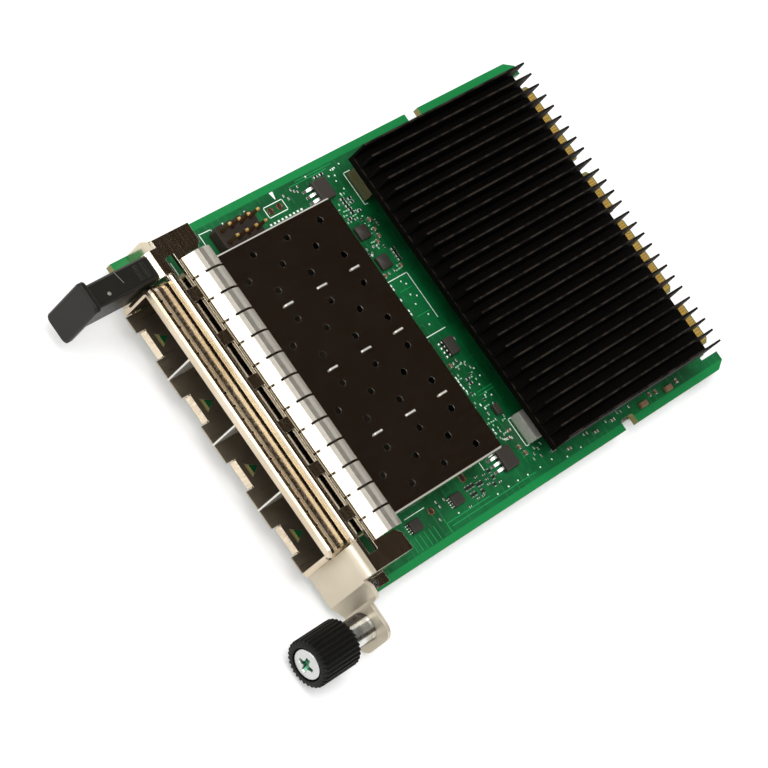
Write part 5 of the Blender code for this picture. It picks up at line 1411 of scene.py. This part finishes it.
@dataclass
class Thumbscrew:
    """The captive screw: ribbed knob, screw with its cross recess and thread, and sleeve."""

    axis: tuple[float, float] = (41.9, 0.5)
    knob_radius: float = 4.7
    knob_y: tuple[float, float] = (-15.1, -5.5)
    ribs: int = 30
    rib_depth: float = 0.34
    seat_y: float = -13.9
    head_radius: float = 3.0
    head_front: float = -15.25
    shank_radius: float = 1.45
    shank_end: float = 4.4
    thread_pitch: float = 0.5
    bore_end: float = -13.1
    bore_radius: float = 3.65
    sleeve_front: float = -7.0
    ear: tuple[float, float] = (0.4, 1.2)

    def knob(self, card: CardFrame, finishes: Finishes) -> None:
        """Builds the knob.

        Its radius at an angle is the profile's radius less the rib depth times a raised cosine of
        the angle times the number of ribs, faded out at the two ends and inside the bore.

        Args:
            card: The frame that the millimetre places are in.
            finishes: The card's finishes.
        """
        front, rear = self.knob_y
        outer = self.knob_radius
        profile = np.array([
            (1.62, self.seat_y, 0), (3.2, self.seat_y, 0), (3.2, front + 0.5, 0), (3.3, front + 0.1, 0),
            (3.42, front, 0), (3.7, front, 0.1), (4.25, front + 0.05, 0.75), (4.5, front + 0.18, 1),
            (outer - 0.03, front + 0.38, 1), (outer, front + 0.55, 1), (outer, (front + rear) / 2, 1),
            (outer, rear - 0.55, 1), (outer - 0.03, rear - 0.38, 1), (4.5, rear - 0.18, 1),
            (4.2, rear - 0.02, 0.6), (3.9, rear, 0), (self.bore_radius, rear, 0),
            (self.bore_radius, self.bore_end, 0), (1.62, self.bore_end, 0)])
        turn = np.arange(self.ribs * 10) * 2 * np.pi / (self.ribs * 10)
        wave = np.clip(0.5 - 0.62 * np.cos(turn * self.ribs), 0, 1)
        radius = profile[:, :1] - profile[:, 2:] * self.rib_depth * wave
        points = np.stack([self.axis[0] + radius * np.cos(turn), profile[:, 1:2] + 0 * turn,
                           self.axis[1] + radius * np.sin(turn)], -1).reshape(-1, 3)
        piece = Piece("ribbed_knob", [finishes["knob_plastic"]], "knob_plastic", "screw_turning",
                      ["thumbscrew_knob"], crease=28.0)
        piece.add((points, grid_faces(len(profile), len(turn), wrap_rows=True, wrap_cols=True)))
        piece.make(card)

    def head_face(self, size: int = 90) -> tuple[Array, Array, Array]:
        """Works out the head's front with its cross recess.

        A square grid is pressed onto a disc by pulling each point in by its distance from the
        square's axes. Depth is the larger of two bars' depths; a bar's depth falls off with smooth
        steps at its sides and grows towards the middle. The face is domed by the square of the radius.

        Returns:
            Points, quads, and which quads lie in the recess.
        """
        side = np.linspace(-1, 1, size)
        u, v = np.meshgrid(side, side, indexing="ij")
        x, z = u * np.sqrt(1 - v * v / 2), v * np.sqrt(1 - u * u / 2)
        angle = math.radians(20)
        a = (x * math.cos(angle) + z * math.sin(angle)) * self.head_radius
        b = (z * math.cos(angle) - x * math.sin(angle)) * self.head_radius

        def bar(across: Array, along: Array) -> Array:
            """Works out one bar of the recess.

            Args:
                across: Distance from the bar's line.
                along: Distance along the bar from its middle.

            Returns:
                The bar's share of the depth.
            """
            walls = np.clip((0.5 - np.abs(across)) / 0.14, 0, 1)
            reach = np.clip((1.75 - np.abs(along)) / 0.9, 0, 1)
            return walls * np.sqrt(reach)

        depth = np.maximum(bar(a, b), bar(b, a))
        flare = np.clip((0.95 - np.hypot(a, b)) / 0.3, 0, 1) * 0.9
        depth = np.maximum(depth, flare)
        dome = 0.28 * (x * x + z * z) ** 2
        y = self.head_front + dome + depth * 0.95
        points = np.stack([self.axis[0] + x * (self.head_radius - 0.12), y,
                           self.axis[1] + z * (self.head_radius - 0.12)], -1).reshape(-1, 3)
        faces = grid_faces(size, size)
        deep = depth.reshape(-1)[faces].mean(1) > 0.35
        return points, faces, deep

    def screw(self, card: CardFrame, finishes: Finishes) -> None:
        """Builds the screw.

        The thread's radius is the shank's less a triangle wave of the distance along the axis
        over the pitch plus the share of a turn.

        Args:
            card: The frame that the millimetre places are in.
            finishes: The card's finishes.
        """
        points, faces, deep = self.head_face()
        piece = Piece("cross_head_screw", [finishes["zinc_steel"], finishes["recess_green"]],
                      "screw_steel", "screw_turning", ["thumbscrew_screw"])
        piece.add((points, faces[~deep]))
        piece.add((points, faces[deep]), 1)
        rim = self.head_radius
        head = np.array([(rim - 0.12, self.head_front + 0.28), (rim - 0.03, self.head_front + 0.36),
                         (rim, self.head_front + 0.5), (rim, self.seat_y - 0.05),
                         (self.shank_radius, self.seat_y - 0.05), (self.shank_radius, 1.95),
                         (1.15, 1.95), (1.15, 2.65), (self.shank_radius, 2.65)])
        piece.add(turned(head, self.axis, 356))
        steps = 72
        turn = np.arange(steps) * 2 * np.pi / steps
        along = np.linspace(2.66, self.shank_end - 0.05, 60)
        phase = (along[:, None] / self.thread_pitch + turn / (2 * np.pi)) % 1.0
        fade = np.clip((self.shank_end - along) / 0.5, 0, 1)[:, None]
        radius = (self.shank_radius - 0.02 - 0.3 * np.abs(phase * 2 - 1)) * (0.7 + 0.3 * fade)
        coil = np.stack([self.axis[0] + radius * np.cos(turn), along[:, None] + 0 * turn,
                         self.axis[1] + radius * np.sin(turn)], -1)
        tips = [np.broadcast_to(np.array([self.axis[0], y, self.axis[1]]), (1, steps, 3))
                for y in (2.66, self.shank_end)]
        points = np.concatenate([tips[0], coil, tips[1]])
        piece.add((points.reshape(-1, 3), grid_faces(len(points), steps, wrap_cols=True)))
        piece.make(card)

    def sleeve(self, card: CardFrame, finishes: Finishes) -> None:
        """Builds the sleeve, turned from its profile, with its rolled front and flared back.

        Args:
            card: The frame that the millimetre places are in.
            finishes: The card's finishes.
        """
        front = self.sleeve_front
        out, back = self.ear
        profile = np.array([
            (2.45, front), (2.6, front), (2.78, front + 0.08), (2.85, front + 0.25), (2.85, out - 1.1),
            (2.8, out - 1.0), (2.8, out - 0.75), (2.85, out - 0.65), (2.85, out - 0.05),
            (2.45, out - 0.05), (2.45, back + 0.05), (2.8, back + 0.05), (2.75, back + 0.35),
            (2.6, back + 0.5), (2.05, back + 0.5), (2.05, out - 1.0), (2.45, out - 1.0)])
        points, _ = turned(profile, self.axis, 72)
        piece = Piece("screw_sleeve", [finishes["sleeve_painted_reflections"]], "screw_steel",
                      replaces=["thumbscrew_sleeve"])
        piece.add((points, grid_faces(len(profile), 72, wrap_rows=True, wrap_cols=True)))
        piece.make(card)

    def build(self, card: CardFrame, finishes: Finishes) -> None:
        """Builds the three pieces.

        Args:
            card: The frame that the millimetre places are in.
            finishes: The card's finishes.
        """
        self.knob(card, finishes)
        self.screw(card, finishes)
        self.sleeve(card, finishes)


@dataclass
class PortContacts:
    """Gold blades inside the slot of each port's receptacle, above and below the module's board."""

    ports: int = 4
    port_pitch: float = 14.25
    blades: int = 10
    blade_pitch: float = 0.7
    front_y: float = 33.9

    def build(self, card: CardFrame, finishes: Finishes) -> None:
        """Builds all blades as one piece, standing on the slot's floor and hanging from its roof.

        Args:
            card: The frame that the millimetre places are in.
            finishes: The card's finishes.
        """
        slots = [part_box(f"port_connector_{n}") for n in range(1, self.ports + 1)]
        places = []
        for low, high in slots:
            middle = ((low.x + high.x) / 2 - card.origin[0]) / MM
            floor = ((low.z + high.z) / 2 - card.origin[2]) / MM
            across = middle + (np.arange(self.blades) - (self.blades - 1) / 2) * self.blade_pitch
            for level in (floor - 0.62, floor + 0.44):
                places.append(np.column_stack([across, np.full(self.blades, self.front_y + 1.5),
                                               np.full(self.blades, level)]))
        piece = Piece("port_contacts", [finishes["gold_plating"]], "gold")
        piece.add(blocks(np.concatenate(places), (0.32, 3.0, 0.16), 0.04))
        piece.make(card)


# The studio


@dataclass
class Studio:
    """Floor, lamps, flag and camera, in metres."""

    camera_place: tuple[float, float, float] = (0.05926112, -0.41394677, 0.46024258)
    right: tuple[float, float, float] = (0.5694633883, 0.6542642690, 0.4976441657)
    down: tuple[float, float, float] = (0.8173072932, -0.3859436370, -0.4278507890)
    ahead: tuple[float, float, float] = (-0.0878648844, 0.6503735660, -0.7545157299)
    lens: float = 151.815
    floor_radius: float = 4.0
    flag_distance: float = 1.4
    flag_azimuth: tuple[float, float] = (-75.0, 75.0)
    flag_elevation: tuple[float, float] = (22.0, 66.0)
    lamps: Sequence[tuple[str, tuple[float, float, float], float, float]] = (
        ("overhead_softbox", (-0.15, -0.2, 1.1), 0.9, 9.0),
        ("front_fill", (-0.5, -1.0, 0.6), 0.7, 3.0))

    def camera(self) -> None:
        """Stands the camera where the card's measured corners fall on their places."""
        data = bpy.data.cameras.new("camera")
        data.lens, data.sensor_width, data.clip_start = self.lens, 36.0, 0.01
        camera = bpy.data.objects.new("camera", data)
        bpy.context.scene.collection.objects.link(camera)
        axes = np.stack([self.right, -np.array(self.down), -np.array(self.ahead)], 1)
        placed = np.eye(4)
        placed[:3, :3], placed[:3, 3] = axes, self.camera_place
        camera.matrix_world = Matrix(placed.tolist())
        bpy.context.scene.camera = camera

    def stage(self, name: str, points: Array, faces: Array,
              material: bpy.types.Material) -> bpy.types.Object:
        """Makes a staged surface.

        Args:
            name: Name of the object.
            points: Its points, in metres.
            faces: Its faces.
            material: Its material.

        Returns:
            The object.
        """
        mesh = bpy.data.meshes.new(name)
        mesh.from_pydata(points.tolist(), [], faces.tolist())
        mesh.materials.append(material)
        made = bpy.data.objects.new(name, mesh)
        bpy.context.scene.collection.objects.link(made)
        made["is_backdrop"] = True
        return made

    def seen(self, tree: Tree) -> bpy.types.NodeSocket:
        """Picks out the rays that show the background: camera, glossy and transmission rays.

        Args:
            tree: Tree to work in.

        Returns:
            1 for such rays, otherwise 0.
        """
        path = tree.node("ShaderNodeLightPath").outputs
        total = tree.maths("ADD", path["Is Camera Ray"], path["Is Glossy Ray"])
        return tree.maths("MINIMUM", tree.maths("ADD", total, path["Is Transmission Ray"]), 1.0)

    def floor(self, height: float) -> None:
        """Lays the pale floor, topped up towards white where it is seen, with the shadow kept.

        Args:
            height: Height of the floor, in metres.
        """
        material = bpy.data.materials.new("pale_floor")
        material.use_nodes = True
        tree = Tree(material.node_tree)
        where = tree.node("ShaderNodeTexCoord").outputs["Object"]
        noise = tree.node("ShaderNodeTexNoise", Vector=where, Scale=60.0)
        tone = tree.blend(noise.outputs["Fac"], (0.8, 0.8, 0.8), (0.82, 0.82, 0.82))
        matt = tree.node("ShaderNodeBsdfPrincipled", Roughness=0.9, Specular_IOR_Level=0.1,
                         Base_Color=tone)
        glow = tree.node("ShaderNodeEmission", Color=(1.0, 1.0, 1.0),
                         Strength=tree.maths("MULTIPLY", self.seen(tree), 0.3))
        both = tree.tree.nodes.new("ShaderNodeAddShader")
        tree.feed(both.inputs[0], matt.outputs[0])
        tree.feed(both.inputs[1], glow.outputs[0])
        tree.node("ShaderNodeOutputMaterial", Surface=both.outputs[0])
        turn = np.linspace(0, 2 * np.pi, 65)[:-1]
        rim = np.column_stack([np.cos(turn), np.sin(turn)]) * self.floor_radius
        points = np.column_stack([rim, np.full(64, height)])
        self.stage("floor", points, np.arange(64)[None], material)

    def flag(self) -> None:
        """Hangs the dark flag behind and above the card, which only glossy reflections show.

        It is a patch of a ball: direction from azimuth and elevation, times the distance.
        """
        material = bpy.data.materials.new("dark_flag")
        material.use_nodes = True
        tree = Tree(material.node_tree)
        glow = tree.node("ShaderNodeEmission", Color=srgb(50, 40, 32), Strength=1.0)
        tree.node("ShaderNodeOutputMaterial", Surface=glow.outputs[0])
        azimuth, elevation = np.meshgrid(np.radians(np.linspace(*self.flag_azimuth, 31)),
                                         np.radians(np.linspace(*self.flag_elevation, 12)),
                                         indexing="ij")
        points = self.flag_distance * np.stack([np.sin(azimuth) * np.cos(elevation),
                                                np.cos(azimuth) * np.cos(elevation),
                                                np.sin(elevation)], -1)
        flag = self.stage("flag", points.reshape(-1, 3), grid_faces(31, 12), material)
        for kind in ("camera", "diffuse", "transmission", "volume_scatter", "shadow"):
            setattr(flag, f"visible_{kind}", False)

    def lamp(self, name: str, place: tuple[float, float, float], size: float, power: float) -> None:
        """Hangs a square soft lamp that points at the card's middle.

        Args:
            name: Name of the lamp.
            place: Its place, in metres.
            size: Length of its side, in metres.
            power: Its power, in watts.
        """
        data = bpy.data.lights.new(name, "AREA")
        data.energy, data.size, data.shape = power, size, "SQUARE"
        lamp = bpy.data.objects.new(name, data)
        bpy.context.scene.collection.objects.link(lamp)
        lamp.location = place
        lamp.rotation_euler = (-lamp.location).to_track_quat("-Z", "Y").to_euler()

    def world(self) -> None:
        """Fills the room: white where it is seen, and a plain level of light on the card."""
        world = bpy.data.worlds.new("studio")
        world.use_nodes = True
        bpy.context.scene.world = world
        tree = Tree(world.node_tree)
        level = tree.ramp(self.seen(tree), 0.0, 1.0, 0.55, 1.0)
        back = tree.node("ShaderNodeBackground", Color=(1.0, 1.0, 1.0), Strength=level)
        tree.node("ShaderNodeOutputWorld", Surface=back.outputs[0])

    def build(self, low: float) -> None:
        """Sets up the studio.

        Args:
            low: Height of the floor, in metres.
        """
        bpy.context.scene.view_settings.view_transform = "Standard"
        self.floor(low)
        self.flag()
        for lamp in self.lamps:
            self.lamp(*lamp)
        self.world()
        self.camera()


NODE_FINISHES = {
    "circuit_board": "solder_mask",
    "cage_cover": "cage_plating",
    "cage_divider": "divider_highlight_plating",
    "cage_floor": "latch_plating",
    "cage_collar": "spring_plating",
    "bracket": "bracket_plating",
    "bracket_screw": "zinc_steel",
    "bracket_spring_fingers": "finger_plating",
    "pull_tab": "tab_plastic",
    "retaining_ring": "zinc_steel",
    "thumbscrew": "turned_steel",
    "heatsink": "black_anodising",
    "heatsink_screw": "zinc_steel",
    "controller_package": "chip_compound",
    "controller_lid": "tin",
    "thermal_pad": "thermal_silicone",
    "header_pin": "pin_plating",
    "pin_header_body": "header_plastic",
    "memory_chip": "chip_compound",
    "flat_chip": "chip_compound",
    "side_chip": "chip_compound",
    "power_package": "chip_compound",
    "port_connector": "connector_plastic",
    "tall_part_left": "olive_epoxy",
    "tall_part_right": "metal_can",
    "side_capacitor": "ceramic_brown",
    "insulator_tray": "insulating_film",
    "insulator_rivet": "tab_plastic",
}


def main() -> None:
    """Builds the card's looks in order."""
    logging.basicConfig(level=logging.INFO, format="%(message)s")
    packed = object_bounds()
    card = CardFrame.of_board()
    finishes = Finishes(EffectGroups(), card)
    finishes.dress(NODE_FINISHES)
    for part in (CardEdge(), BoardPrint(), BoardPads(), DensePads(), SmallParts(), *PACKAGES,
                 Heatsink(), TabMarks(), Thumbscrew(), PortContacts()):
        part.build(card, finishes)
    Studio().build(packed[0].z)


if __name__ == "__main__":
    main()
